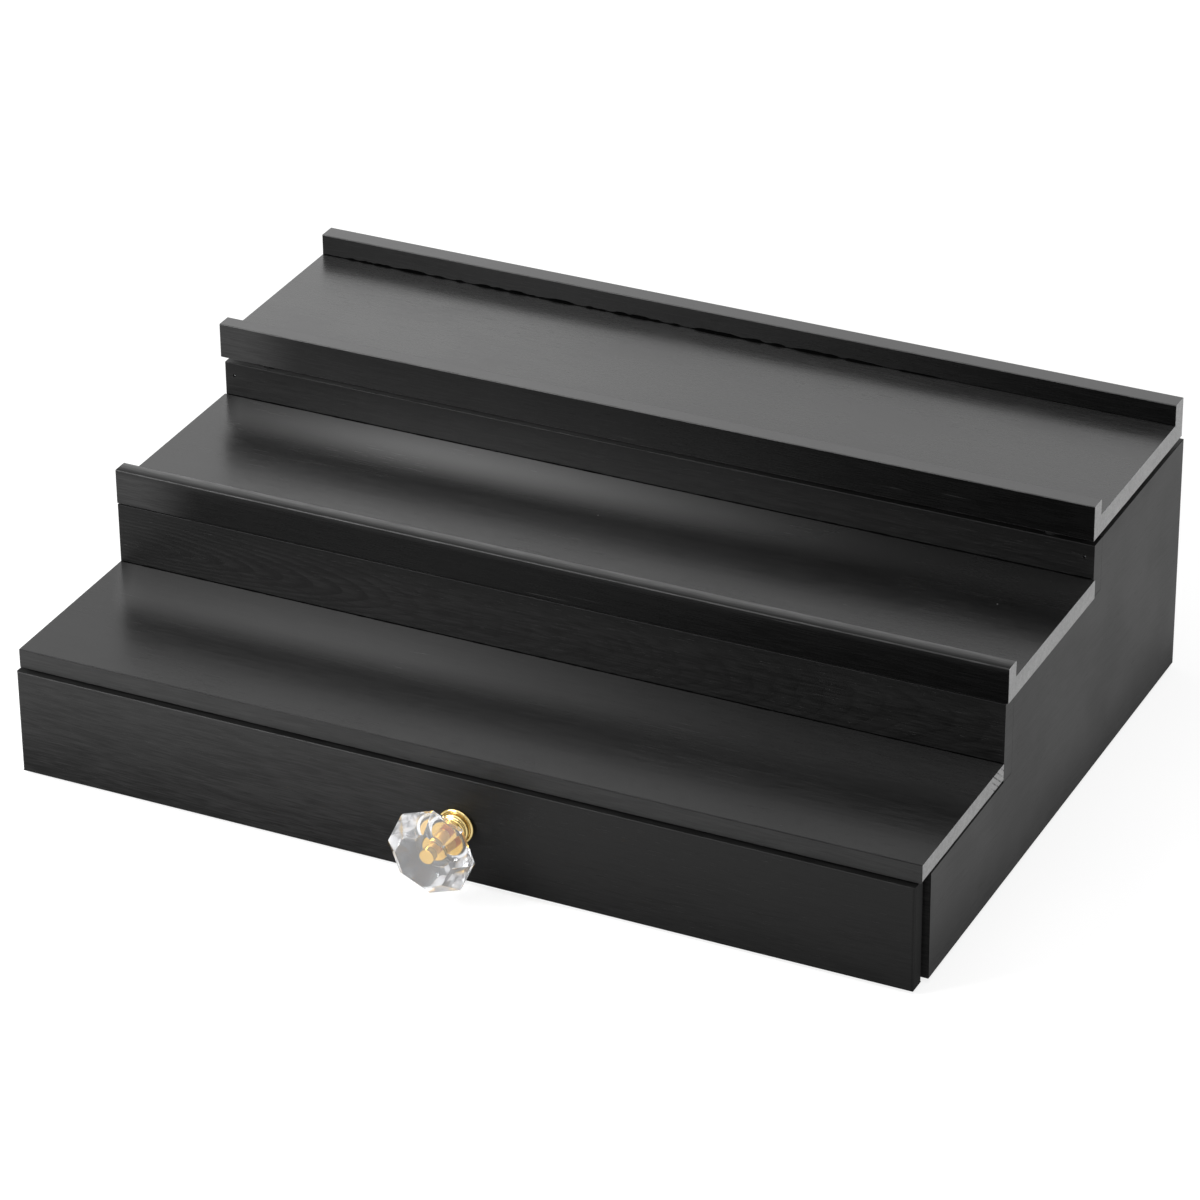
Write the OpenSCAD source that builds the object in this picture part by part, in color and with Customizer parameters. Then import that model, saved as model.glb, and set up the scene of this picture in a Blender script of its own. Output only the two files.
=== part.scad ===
/* [Carcass] */
// Width over the two side panels
carcass_w = 400; // [340:1:480]
// Depth of a side panel, front edge to back edge
side_d = 272.5; // [250:0.5:320]
// Thickness of the solid wood boards
board_t = 8.5; // [7:0.5:12]
// Height of a side panel under the lower shelf
low_step_h = 48; // [42:0.5:60]
// Height of a side panel under the middle shelf
mid_step_h = 83.5; // [76:0.5:94]
// Height of a side panel under the lid
top_step_h = 107.5; // [102:0.5:130]
// Lower riser's face, behind the side panels' front edges
low_riser_setback = 74.5; // [60:0.5:90]
// Upper riser's face, behind the side panels' front edges
high_riser_setback = 169; // [150:0.5:190]
// Radius of the eased long edges of the boards
arris_r = 0.8; // [0.3:0.1:1.5]

/* [Shelves] */
// Reach of the lower shelf in front of the side panels
low_shelf_reach = 8.7; // [4:0.1:14]
// Overhang of the middle shelf past each side panel
mid_shelf_overhang = 0.7; // [0:0.1:3]
// Thickness of the two front lips
lip_t = 7.5; // [5:0.5:10]
// Rise of the two front lips above their shelves
lip_rise = 7.2; // [4:0.1:12]
// Middle lip's face, behind the lower riser's face
mid_lip_setback = 0.8; // [0:0.1:1]

/* [Lid] */
// Air gap between the side panels and the lid
lid_gap = 3.4; // [3.2:0.1:5]
// Overhang of the lid past each side panel
lid_overhang = 0.4; // [0:0.1:3]
// Reach of the lid's front lip in front of the upper riser
lid_reach = 2.6; // [0:0.1:6]
// Rise of the back lip above the lid's board
back_lip_rise = 9.5; // [5:0.5:16]

/* [Hinges] */
// Length of a hinge along its pin
hinge_len = 38; // [24:1:60]
// Middle of a hinge, in from the side panel's outer face
hinge_inset = 62; // [40:1:110]
// Thickness of the hinge leaves
leaf_t = 1; // [0.8:0.1:1.2]
// Width of the carcass leaf, from the pin
carcass_leaf_w = 6; // [5:0.1:6.4]
// Width of the lid leaf, from the pin
lid_leaf_w = 9.6; // [8.6:0.1:10.4]
// Diameter of the hinge pin
pin_d = 1.6; // [1.2:0.1:1.8]
// Hinge pin's centre, in front of the carcass's back face
pin_inset = 2.1; // [1.8:0.1:2.4]
// Running clearance of the pin in the lid leaf's knuckle
pin_clearance = 0.05; // [0.02:0.01:0.1]
// Gap between neighbouring knuckles, and round them
knuckle_gap = 0.3; // [0.2:0.05:0.4]
// Diameter of the hinge screws
hinge_screw_d = 2; // [1.6:0.1:2.2]
// Diameter of the hinge screws' heads
hinge_screw_head_d = 3.4; // [3:0.1:3.6]
// Length of the hinge screws
hinge_screw_len = 8; // [6:0.5:14]

/* [Panels] */
// Thickness of the base panel and of the compartment's floor
panel_t = 4; // [3:0.5:5]
// Depth of the grooves in the side panels
groove_d = 3; // [2:0.5:4]
// Height of the base panel over the side panels' lower edges
base_rise = 3; // [2:0.5:4]
// Compartment floor's underside, above the side panels' front step
floor_rise = 1.5; // [1:0.5:6]
// Clearance of a loose panel in its groove
panel_play = 0.1; // [0.05:0.05:0.2]

/* [Drawer] */
// Gap between the side panels' front edges and the drawer front
front_gap = 2.5; // [1:0.1:4]
// Gap between the drawer front and the lower shelf
front_top_gap = 1; // [0.5:0.1:2]
// Inset of the drawer front's ends from the side panels' outer faces
front_end_inset = 0.6; // [0:0.1:2]
// Sideways place of the drawer front, as it was screwed on
front_shift = -1.3; // [-2:0.1:2]
// Thickness of the drawer box's four boards
drawer_board_t = 6; // [5:0.5:8]
// Thickness of the drawer's bottom panel
drawer_bottom_t = 3; // [2.5:0.5:4]
// Depth of the grooves in the drawer box
drawer_groove_d = 3; // [2:0.5:4]
// Height of the drawer's bottom panel over the box's lower edges
drawer_bottom_rise = 3; // [2:0.5:5]
// Gap between the drawer box and each side panel
drawer_side_gap = 0.9; // [0.4:0.1:2]
// Running gap between the drawer box and the base panel
drawer_run_gap = 0.3; // [0.2:0.1:0.6]
// Gap between the closed drawer box and the back panel
drawer_back_gap = 0.3; // [0.2:0.1:1]
// Diameter of the drawer front's screws
front_screw_d = 3; // [2.5:0.5:4]
// Length of the drawer front's screws
front_screw_len = 12; // [9:0.5:13]
// Diameter of the drawer front's screw heads
front_screw_head_d = 6; // [5:0.5:8]
// Height of the drawer front's screw heads
front_screw_head_h = 1.6; // [1:0.1:2.4]
// Drawer front's screws, out from the middle
front_screw_x = 120; // [80:5:145]

/* [Brads] */
// Diameter of the brads
brad_d = 1.2; // [1:0.1:1.6]
// Length of the upper riser's brads
riser_brad_len = 22; // [16:1:30]
// Length of the drawer box's brads
drawer_brad_len = 16; // [12:1:20]
// Depth of the brad heads under the surface
brad_sink = 0.6; // [0.3:0.1:1]
// Drawer box's brads, from the boards' long edges
drawer_brad_inset = 9; // [8:0.5:12]
// Clearance round fasteners in wood
bite = 0.05; // [0.03:0.01:0.1]

/* [Knob] */
// Sideways place of the knob, from the organizer's middle
knob_x = 1.5; // [-60:0.5:60]
// Height of the knob's middle over the drawer front's lower edge
knob_h = 25; // [22:0.5:30]
// Diameter of the metal base
knob_base_d = 16; // [13:0.5:20]
// Length of the metal base, from the drawer front to the crystal
knob_base_len = 9; // [8:0.5:12]
// Thickness of the metal base's flange, which has a half-round rim
knob_flange_t = 2; // [1.4:0.1:3]
// Outer diameter of the bead in front of the flange
knob_bead_ring_d = 13.4; // [12:0.2:15]
// Thickness of the bead in front of the flange
knob_bead_d = 2; // [1:0.1:2.6]
// Diameter of the metal base's neck
knob_neck_d = 9.6; // [8:0.2:11]
// Diameter of the collar under the crystal
knob_collar_d = 12.8; // [12.2:0.2:14]
// Thickness of the collar under the crystal
knob_collar_t = 1.2; // [0.8:0.1:2]
// Diameter of the crystal over its corners, at the girdle
crystal_d = 37.7; // [32:0.1:42]
// Diameter of the crystal over its corners, at its foot
crystal_foot_d = 18; // [16:0.5:22]
// Diameter of the crystal over its corners, at the front table
crystal_table_d = 24.4; // [20:0.2:28]
// Height of the crystal's back facets
crystal_back_h = 12.5; // [10:0.5:16]
// Height of the girdle's flat band
crystal_girdle_h = 1.5; // [0.8:0.1:3]
// Height of the crystal's front facets
crystal_front_h = 6.8; // [5:0.1:9]
// Turn of the crystal about its screw, in degrees
crystal_turn = -2.8; // [-22:0.1:22]
// Diameter of the brass insert in the crystal
insert_d = 6.4; // [5.6:0.2:7.4]
// Length of the brass insert in the crystal
insert_len = 15; // [11:0.5:16]
// Diameter of the insert's flange
insert_flange_d = 11.2; // [10:0.2:11.6]
// Thickness of the insert's flange
insert_flange_t = 1.6; // [1:0.1:2]
// Clearance round the insert
insert_clearance = 0.1; // [0.05:0.05:0.2]
// Diameter of the knob's machine screw
knob_screw_d = 4; // [3:0.5:4]
// Depth that the machine screw reaches into the insert
knob_screw_bite = 8; // [5:0.5:9]
// Diameter of the machine screw's head
knob_screw_head_d = 7.4; // [6.6:0.2:8]
// Height of the machine screw's head
knob_screw_head_h = 2.4; // [2:0.1:3]
// Diameter of the washer under the head
washer_d = 10; // [9:0.5:14]
// Thickness of the washer
washer_t = 1; // [0.6:0.1:1.6]
// Clearance round the machine screw
knob_screw_clearance = 0.2; // [0.1:0.05:0.3]

/* [Feet and pads] */
// Diameter of the rubber feet
foot_d = 12; // [8:0.5:16]
// Height that the feet lift the side panels off the table
foot_lift = 2; // [1:0.5:4]
// Middle of a foot, in from the base panel's edges
foot_inset = 16; // [12:1:40]
// Diameter of the rubber pads under the lid's front
pad_d = 6; // [4:0.5:8]
// Middle of a pad, in from the side panel's outer face
pad_inset = 20; // [14:1:50]

/* [Hidden] */
// Heights, from the table up
side_z = foot_lift;
low_z = side_z + low_step_h;
mid_z = side_z + mid_step_h;
top_z = side_z + top_step_h;
lid_z = top_z + lid_gap;
base_z = side_z + base_rise;
floor_z = low_z + floor_rise;
drawer_z = base_z + panel_t + drawer_run_gap;
front_top_z = low_z - front_top_gap;
drawer_h = front_top_z - drawer_z;
drawer_bottom_z = drawer_z + drawer_bottom_rise;
knob_z = side_z + knob_h;

// Depths, from the middle of the footprint back, the knob included
crystal_h = crystal_back_h + crystal_girdle_h + crystal_front_h;
knob_len = knob_base_len + crystal_h;
total_d = knob_len + board_t + front_gap + side_d;
face_y = knob_len - total_d / 2;
front_back_y = face_y + board_t;
side_y = front_back_y + front_gap;
back_y = side_y + side_d;
back_panel_y = back_y - board_t;
low_riser_y = side_y + low_riser_setback;
high_riser_y = side_y + high_riser_setback;
low_shelf_y = side_y - low_shelf_reach;
mid_lip_y = low_riser_y + mid_lip_setback;
mid_shelf_y = mid_lip_y + lip_t;
partition_back_y = high_riser_y + board_t;
knuckle_r = lid_gap / 2;
pin_y = back_y - pin_inset;
pin_z = top_z + knuckle_r;
lid_back_y = pin_y - knuckle_r - knuckle_gap;
lid_lip_y = high_riser_y - lid_reach;
tray_y = lid_lip_y + lip_t;
back_lip_y = lid_back_y - board_t;
drawer_back_y = back_panel_y - drawer_back_gap;
foot_front_y = side_y + foot_inset;
foot_back_y = back_panel_y - foot_inset;

// Widths, from the middle out
inside_x = carcass_w / 2 - board_t;
drawer_x = inside_x - drawer_side_gap;
front_w = carcass_w - 2 * front_end_inset;
hinge_x = carcass_w / 2 - hinge_inset;
pad_x = carcass_w / 2 - pad_inset;
foot_x = inside_x - foot_inset;
brad_x = carcass_w / 2 - board_t / 2;

// Upper riser's brads, a quarter of its height below its top edge
riser_brad_drop = (top_step_h - mid_step_h) / 4;

// Hinge screws, along the hinge and out from its pin
hinge_screw_x = hinge_len / 3;
carcass_screw_y = pin_y - (knuckle_r + knuckle_gap + carcass_leaf_w) / 2;
lid_screw_y = pin_y - (knuckle_r + knuckle_gap + lid_leaf_w) / 2;
hinge_head_h = (hinge_screw_head_d - hinge_screw_d) / 2;

// Brads of the drawer box
drawer_brad_z = [drawer_z + drawer_brad_inset, front_top_z - drawer_brad_inset];
drawer_brad_y = [front_back_y + drawer_board_t / 2, drawer_back_y - drawer_board_t / 2];

// Boards, black stain, and the other finishes
stain = [0.13, 0.13, 0.13];
ply = [0.2, 0.18, 0.16];
gold = [0.85, 0.66, 0.3];
steel = [0.7, 0.7, 0.72];
rubber = [0.08, 0.08, 0.08];
clear = [0.85, 0.9, 0.95, 0.5];

$fn = 48;

// A rectangle with its four corners eased
module eased_rectangle(w, h) {
    translate([arris_r, 0]) square([w - 2 * arris_r, h]);
    translate([0, arris_r]) square([w, h - 2 * arris_r]);
    for (x = [arris_r, w - arris_r], y = [arris_r, h - arris_r])
        translate([x, y]) circle(arris_r);
}

// A board that runs across the organizer, with its long edges eased
module long_board(half_w, y0, y1, z0, z1) {
    translate([-half_w, y0, z0])
        rotate([90, 0, 90])
            linear_extrude(2 * half_w) eased_rectangle(y1 - y0, z1 - z0);
}

// A square-edged block between two corners
module block(low, high) {
    translate(low) cube(high - low);
}

// A rod along Y, from y0 back to y1
module rod_y(x, z, y0, y1, r) {
    translate([x, y0, z]) rotate([-90, 0, 0]) cylinder(h = y1 - y0, r = r);
}

// A rod along X, from x0 to x1
module rod_x(y, z, x0, x1, r) {
    translate([x0, y, z]) rotate([0, 90, 0]) cylinder(h = x1 - x0, r = r);
}

// Side panels: three steps, and grooves for the base panel and the compartment's floor
module side_profile() {
    polygon([[side_y, side_z], [back_y, side_z], [back_y, top_z],
             [partition_back_y, top_z], [partition_back_y, mid_z],
             [low_riser_y + board_t, mid_z], [low_riser_y + board_t, low_z],
             [side_y, low_z]]);
}

module panel_groove(y0, z0) {
    block([-inside_x - groove_d, y0, z0], [inside_x + groove_d, back_panel_y, z0 + panel_t]);
}

// The upper riser's brads lie brad_sink under its face, and their holes start at y0
module upper_riser_brad_set(y0, r) {
    for (x = [-brad_x, brad_x])
        rod_y(x, top_z - riser_brad_drop, y0, high_riser_y + brad_sink + riser_brad_len, r);
}

// side is -1 for the left panel and 1 for the right one
module side_panel(side) {
    color(stain) difference() {
        translate([side < 0 ? -carcass_w / 2 : inside_x, 0, 0])
            rotate([90, 0, 90]) linear_extrude(board_t) side_profile();
        panel_groove(side_y, base_z);
        panel_groove(partition_back_y, floor_z);
        upper_riser_brad_set(high_riser_y, brad_d / 2 + bite);
    }
}

module back_panel() {
    color(stain) difference() {
        block([-inside_x, back_panel_y, side_z], [inside_x, back_y, top_z]);
        carcass_hinge_screws(bite);
    }
}

module base_panel() {
    reach = inside_x + groove_d - panel_play;
    color(ply) block([-reach, side_y + panel_play, base_z], [reach, back_panel_y, base_z + panel_t]);
}

module compartment_floor() {
    reach = inside_x + groove_d - panel_play;
    color(ply) block([-reach, partition_back_y, floor_z], [reach, back_panel_y, floor_z + panel_t]);
}

// Inner board under the upper riser, the compartment's front wall
module compartment_partition() {
    color(stain) block([-inside_x, high_riser_y, floor_z], [inside_x, partition_back_y, mid_z]);
}

module lower_riser() {
    color(stain) long_board(carcass_w / 2, low_riser_y, low_riser_y + board_t, low_z, mid_z);
}

module upper_riser() {
    color(stain) difference() {
        long_board(carcass_w / 2, high_riser_y, partition_back_y, mid_z, top_z);
        upper_riser_brad_set(high_riser_y - brad_sink, brad_d / 2 + bite);
    }
}

module upper_riser_brads() {
    color(steel) upper_riser_brad_set(high_riser_y + brad_sink, brad_d / 2);
}

module lower_shelf() {
    color(stain) long_board(carcass_w / 2, low_shelf_y, low_riser_y, low_z, low_z + board_t);
}

module middle_shelf() {
    color(stain) long_board(carcass_w / 2 + mid_shelf_overhang, mid_shelf_y, high_riser_y,
                            mid_z, mid_z + board_t);
}

module middle_shelf_lip() {
    color(stain) long_board(carcass_w / 2 + mid_shelf_overhang, mid_lip_y, mid_shelf_y,
                            mid_z, mid_z + board_t + lip_rise);
}

// Lid: a tray with a lip in front and a taller one behind
module lid_board() {
    color(stain) long_board(carcass_w / 2 + lid_overhang, tray_y, back_lip_y,
                            lid_z, lid_z + board_t);
}

module lid_front_lip() {
    color(stain) long_board(carcass_w / 2 + lid_overhang, lid_lip_y, tray_y,
                            lid_z, lid_z + board_t + lip_rise);
}

module lid_back_lip() {
    color(stain) difference() {
        long_board(carcass_w / 2 + lid_overhang, back_lip_y, lid_back_y,
                   lid_z, lid_z + board_t + back_lip_rise);
        lid_hinge_screws(bite);
    }
}

// Hinges: the outer knuckles are the carcass leaf's, the middle one is the lid leaf's
module hinge_screw(grow) {
    cylinder(h = hinge_head_h + grow, r1 = hinge_screw_head_d / 2 + grow, r2 = hinge_screw_d / 2 + grow);
    cylinder(h = hinge_screw_len + grow, r = hinge_screw_d / 2 + grow);
}

module hinge_screw_pair(side, y, z, turn, grow) {
    for (end = [-1, 1])
        translate([side * hinge_x + end * hinge_screw_x, y, z]) rotate([turn, 0, 0]) hinge_screw(grow);
}

module carcass_hinge_screws(grow) {
    for (side = [-1, 1])
        hinge_screw_pair(side, carcass_screw_y, top_z + leaf_t, 180, grow);
}

module lid_hinge_screws(grow) {
    for (side = [-1, 1])
        hinge_screw_pair(side, lid_screw_y, lid_z - leaf_t, 0, grow);
}

module knuckle(x0, x1, leaf_z) {
    rod_x(pin_y, pin_z, x0, x1, knuckle_r);
    block([x0, pin_y - knuckle_r - knuckle_gap, leaf_z], [x1, pin_y, leaf_z + leaf_t]);
}

module leaf_plate(x, leaf_w, leaf_z) {
    block([x - hinge_len / 2, pin_y - leaf_w, leaf_z],
          [x + hinge_len / 2, pin_y - knuckle_r - knuckle_gap, leaf_z + leaf_t]);
}

module carcass_leaf(side) {
    x = side * hinge_x;
    color(gold) difference() {
        union() {
            leaf_plate(x, carcass_leaf_w, top_z);
            knuckle(x - hinge_len / 2, x - hinge_len / 6, top_z);
            knuckle(x + hinge_len / 6, x + hinge_len / 2, top_z);
        }
        rod_x(pin_y, pin_z, x - hinge_len, x + hinge_len, pin_d / 2);
        carcass_hinge_screws(bite);
    }
}

module lid_leaf(side) {
    x = side * hinge_x;
    middle_half = hinge_len / 6 - knuckle_gap;
    color(gold) difference() {
        union() {
            leaf_plate(x, lid_leaf_w, lid_z - leaf_t);
            knuckle(x - middle_half, x + middle_half, lid_z - leaf_t);
        }
        rod_x(pin_y, pin_z, x - hinge_len, x + hinge_len, pin_d / 2 + pin_clearance);
        lid_hinge_screws(bite);
    }
}

module hinge_pin(side) {
    x = side * hinge_x;
    color(gold) rod_x(pin_y, pin_z, x - hinge_len / 2, x + hinge_len / 2, pin_d / 2);
}

// Rubber pads that the closed lid rests on
module lid_pad(side) {
    color(rubber) translate([side * pad_x, high_riser_y + board_t / 2, top_z])
        cylinder(h = lid_gap, d = pad_d);
}

module foot(side, y) {
    color(rubber) translate([side * foot_x, y, 0]) cylinder(h = base_z, d = foot_d);
}

// Drawer front, and the box behind it
module drawer_front() {
    color(stain) difference() {
        translate([front_shift, 0, 0])
            long_board(front_w / 2, face_y, front_back_y, side_z, front_top_z);
        rod_y(knob_x, knob_z, face_y - board_t, side_y, knob_screw_d / 2 + knob_screw_clearance);
        front_screw_set(bite);
    }
}

module drawer_groove() {
    reach = drawer_x - drawer_board_t + drawer_groove_d;
    block([-reach, front_back_y + drawer_board_t - drawer_groove_d, drawer_bottom_z],
          [reach, drawer_back_y - drawer_board_t + drawer_groove_d, drawer_bottom_z + drawer_bottom_t]);
}

module drawer_box_front() {
    inner = drawer_x - drawer_board_t;
    color(ply) difference() {
        block([-inner, front_back_y, drawer_z], [inner, front_back_y + drawer_board_t, front_top_z]);
        drawer_groove();
        rod_y(knob_x, knob_z, face_y, side_y + board_t, knob_screw_d / 2 + knob_screw_clearance);
        front_screw_set(bite);
        drawer_brad_holes();
    }
}

module drawer_back() {
    inner = drawer_x - drawer_board_t;
    color(ply) difference() {
        block([-inner, drawer_back_y - drawer_board_t, drawer_z], [inner, drawer_back_y, front_top_z]);
        drawer_groove();
        drawer_brad_holes();
    }
}

module drawer_side(side) {
    x0 = side < 0 ? -drawer_x : drawer_x - drawer_board_t;
    color(ply) difference() {
        block([x0, front_back_y, drawer_z], [x0 + drawer_board_t, drawer_back_y, front_top_z]);
        drawer_groove();
        drawer_brad_holes();
    }
}

module drawer_bottom() {
    reach = drawer_x - drawer_board_t + drawer_groove_d - panel_play;
    reach_y = drawer_board_t - drawer_groove_d + panel_play;
    color(ply) block([-reach, front_back_y + reach_y, drawer_bottom_z + panel_play],
                     [reach, drawer_back_y - reach_y, drawer_bottom_z + drawer_bottom_t - panel_play]);
}

// The brads lie brad_sink under the sides, and their holes run out to the surface
module drawer_brad_set(r, x_out) {
    x_in = drawer_x - brad_sink - drawer_brad_len;
    for (y = drawer_brad_y, z = drawer_brad_z) {
        rod_x(y, z, x_in, x_out, r);
        rod_x(y, z, -x_out, -x_in, r);
    }
}

module drawer_brad_holes() {
    drawer_brad_set(brad_d / 2 + bite, drawer_x + brad_sink);
}

module drawer_brads() {
    color(steel) drawer_brad_set(brad_d / 2, drawer_x - brad_sink);
}

// Screws from inside the drawer box into the back of its front
module front_screw_set(grow) {
    back = front_back_y + drawer_board_t;
    for (side = [-1, 1])
        rod_y(side * front_screw_x, (drawer_z + front_top_z) / 2,
              back - front_screw_len - grow, back, front_screw_d / 2 + grow);
}

module drawer_front_screws() {
    back = front_back_y + drawer_board_t;
    color(steel) {
        front_screw_set(0);
        for (side = [-1, 1])
            rod_y(side * front_screw_x, (drawer_z + front_top_z) / 2,
                  back, back + front_screw_head_h, front_screw_head_d / 2);
    }
}

// Places its children at the knob, with +Z pointing out of the drawer front
module at_knob() {
    translate([knob_x, face_y, knob_z]) rotate([90, 0, 0]) children();
}

// Turned metal base: a flange, a bead, a neck and a collar under the crystal
module knob_base_profile() {
    rim_r = knob_flange_t / 2;
    bead_r = knob_bead_d / 2;
    bead_x = knob_bead_ring_d / 2 - bead_r;
    square([knob_base_d / 2 - rim_r, knob_flange_t]);
    translate([knob_base_d / 2 - rim_r, rim_r]) circle(rim_r);
    square([bead_x, knob_flange_t + knob_bead_d]);
    translate([bead_x, knob_flange_t + bead_r]) circle(bead_r);
    square([knob_neck_d / 2, knob_base_len]);
    translate([0, knob_base_len - knob_collar_t]) square([knob_collar_d / 2, knob_collar_t]);
}

module knob_base() {
    color(gold) at_knob() rotate_extrude() difference() {
        knob_base_profile();
        square([knob_screw_d / 2 + knob_screw_clearance, knob_base_len]);
    }
}

// Threaded brass insert that is glued into the crystal
module knob_insert() {
    color(gold) at_knob() translate([0, 0, knob_base_len]) difference() {
        union() {
            cylinder(h = insert_flange_t, d = insert_flange_d);
            cylinder(h = insert_len, d = insert_d);
        }
        translate([0, 0, -insert_flange_t])
            cylinder(h = knob_screw_bite + 2 * insert_flange_t, r = knob_screw_d / 2 + bite);
    }
}

// Octagonal crystal: back facets, a flat girdle band, front facets and a flat table
module knob_crystal() {
    color(clear) at_knob() translate([0, 0, knob_base_len]) difference() {
        rotate([0, 0, crystal_turn]) union() {
            cylinder(h = crystal_back_h, d1 = crystal_foot_d, d2 = crystal_d, $fn = 8);
            translate([0, 0, crystal_back_h]) cylinder(h = crystal_girdle_h, d = crystal_d, $fn = 8);
            translate([0, 0, crystal_back_h + crystal_girdle_h])
                cylinder(h = crystal_front_h, d1 = crystal_d, d2 = crystal_table_d, $fn = 8);
        }
        translate([0, 0, -insert_flange_t])
            cylinder(h = 2 * insert_flange_t + insert_clearance, d = insert_flange_d + 2 * insert_clearance);
        cylinder(h = insert_len + insert_clearance, d = insert_d + 2 * insert_clearance);
    }
}

module knob_screw() {
    seat = board_t + drawer_board_t + washer_t;
    color(steel) at_knob() {
        translate([0, 0, -seat]) cylinder(h = seat + knob_base_len + knob_screw_bite, d = knob_screw_d);
        translate([0, 0, -seat - knob_screw_head_h]) cylinder(h = knob_screw_head_h, d = knob_screw_head_d);
    }
}

module knob_washer() {
    color(steel) at_knob() translate([0, 0, -board_t - drawer_board_t - washer_t]) difference() {
        cylinder(h = washer_t, d = washer_d);
        translate([0, 0, -washer_t])
            cylinder(h = 3 * washer_t, r = knob_screw_d / 2 + knob_screw_clearance);
    }
}

side_panel(-1);  // side_panel_left
side_panel(1);  // side_panel_right
back_panel();
base_panel();
lower_riser();
upper_riser();
upper_riser_brads();
lower_shelf();
middle_shelf();
middle_shelf_lip();
compartment_partition();
compartment_floor();
lid_board();
lid_front_lip();
lid_back_lip();
carcass_leaf(-1);  // hinge_leaf_carcass_left
carcass_leaf(1);  // hinge_leaf_carcass_right
lid_leaf(-1);  // hinge_leaf_lid_left
lid_leaf(1);  // hinge_leaf_lid_right
hinge_pin(-1);  // hinge_pin_left
hinge_pin(1);  // hinge_pin_right
color(gold) carcass_hinge_screws(0);  // hinge_screws_carcass
color(gold) lid_hinge_screws(0);  // hinge_screws_lid
lid_pad(-1);  // lid_pad_left
lid_pad(1);  // lid_pad_right
foot(-1, foot_front_y);  // foot_front_left
foot(1, foot_front_y);  // foot_front_right
foot(-1, foot_back_y);  // foot_back_left
foot(1, foot_back_y);  // foot_back_right
drawer_front();
drawer_box_front();
drawer_side(-1);  // drawer_side_left
drawer_side(1);  // drawer_side_right
drawer_back();
drawer_bottom();
drawer_front_screws();
drawer_brads();
knob_base();
knob_insert();
knob_crystal();
knob_screw();
knob_washer();
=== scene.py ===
# %% [markdown]
# # A black perfume organizer with a drawer
# Three stepped shelves of thin, black-stained boards stand on a wide drawer with a cut crystal knob. The
# boards, joints and hinges are already built as solids at real size. This lesson dresses them: it remakes
# each visible board with eased edges, turns the knob, copies the screws and mixes the finishes.

# %% Load the frame
import math

import bmesh
import bpy
from mathutils import Euler, Matrix, Quaternion, Vector


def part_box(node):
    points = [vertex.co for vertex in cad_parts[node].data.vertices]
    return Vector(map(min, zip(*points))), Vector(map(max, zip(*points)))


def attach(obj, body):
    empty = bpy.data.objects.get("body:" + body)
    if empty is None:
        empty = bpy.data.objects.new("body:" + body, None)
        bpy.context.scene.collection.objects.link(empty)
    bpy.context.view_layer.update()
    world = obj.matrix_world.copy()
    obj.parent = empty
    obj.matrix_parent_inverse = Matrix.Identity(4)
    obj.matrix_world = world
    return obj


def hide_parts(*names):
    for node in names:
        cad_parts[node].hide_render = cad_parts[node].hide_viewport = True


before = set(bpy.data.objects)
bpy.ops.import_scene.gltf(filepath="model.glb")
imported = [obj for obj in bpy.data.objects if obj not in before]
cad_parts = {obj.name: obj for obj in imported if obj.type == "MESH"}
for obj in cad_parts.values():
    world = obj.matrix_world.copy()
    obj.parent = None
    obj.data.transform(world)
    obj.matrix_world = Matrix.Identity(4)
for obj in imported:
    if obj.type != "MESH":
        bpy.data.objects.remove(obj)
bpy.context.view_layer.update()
MM = 0.001
scene = bpy.context.scene

# %% [markdown]
# ## The camera
# A product shot uses a long lens from far away, so the shelves' edges stay nearly parallel. Place, angles
# and lens were fitted to the stand's corners in the photograph. Two angles and a slight roll say more to a
# reader than a rotation matrix does.

# %% Camera
CAMERA_PLACE = Vector((842.08, -1730.14, 1132.08)) * MM
CAMERA_AZIMUTH = math.radians(25.84)
CAMERA_ELEVATION = math.radians(29.01)
CAMERA_ROLL = math.radians(-0.552)
# Sensor and lens in mm, as Blender wants them, and the farthest thing seen in metres.
SENSOR_W = 36
LENS = 159.87
FARTHEST = 100

look = Vector((-math.sin(CAMERA_AZIMUTH) * math.cos(CAMERA_ELEVATION),
               math.cos(CAMERA_AZIMUTH) * math.cos(CAMERA_ELEVATION),
               -math.sin(CAMERA_ELEVATION)))
camera = bpy.data.objects.new("camera", bpy.data.cameras.new("camera"))
camera.data.sensor_width = SENSOR_W
camera.data.lens = LENS
camera.data.clip_end = FARTHEST
camera.location = CAMERA_PLACE
camera.rotation_mode = "QUATERNION"
camera.rotation_quaternion = look.to_track_quat("-Z", "Y") @ Quaternion((0, 0, 1), CAMERA_ROLL)
scene.collection.objects.link(camera)
scene.camera = camera
print("camera looks along", [round(v, 3) for v in look])

# %% [markdown]
# ## A short way to write node trees
# Every finish is a tree of nodes. One helper adds a node, sets its options and fills its sockets with
# values or with other nodes' outputs. The others wrap the nodes that come up most, so each recipe stays
# short.

# %% Node helpers
def fill(tree, node, inputs):
    """Sets sockets of the node, by name or number, to a value or to another node's output."""
    for name, value in inputs.items():
        if isinstance(value, bpy.types.NodeSocket):
            tree.links.new(value, node.inputs[name])
        else:
            node.inputs[name].default_value = value


def add(tree, kind, inputs=None, **options):
    """One node, with its options set and its sockets filled."""
    made = tree.nodes.new(kind)
    for name, value in options.items():
        setattr(made, name, value)
    fill(tree, made, inputs or {})
    return made


def maths(tree, operation, a, b=0.0, c=0.0, clamp=False):
    return add(tree, "ShaderNodeMath", {0: a, 1: b, 2: c}, operation=operation, use_clamp=clamp).outputs[0]


def times(tree, a, b):
    return maths(tree, "MULTIPLY", a, b)


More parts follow.
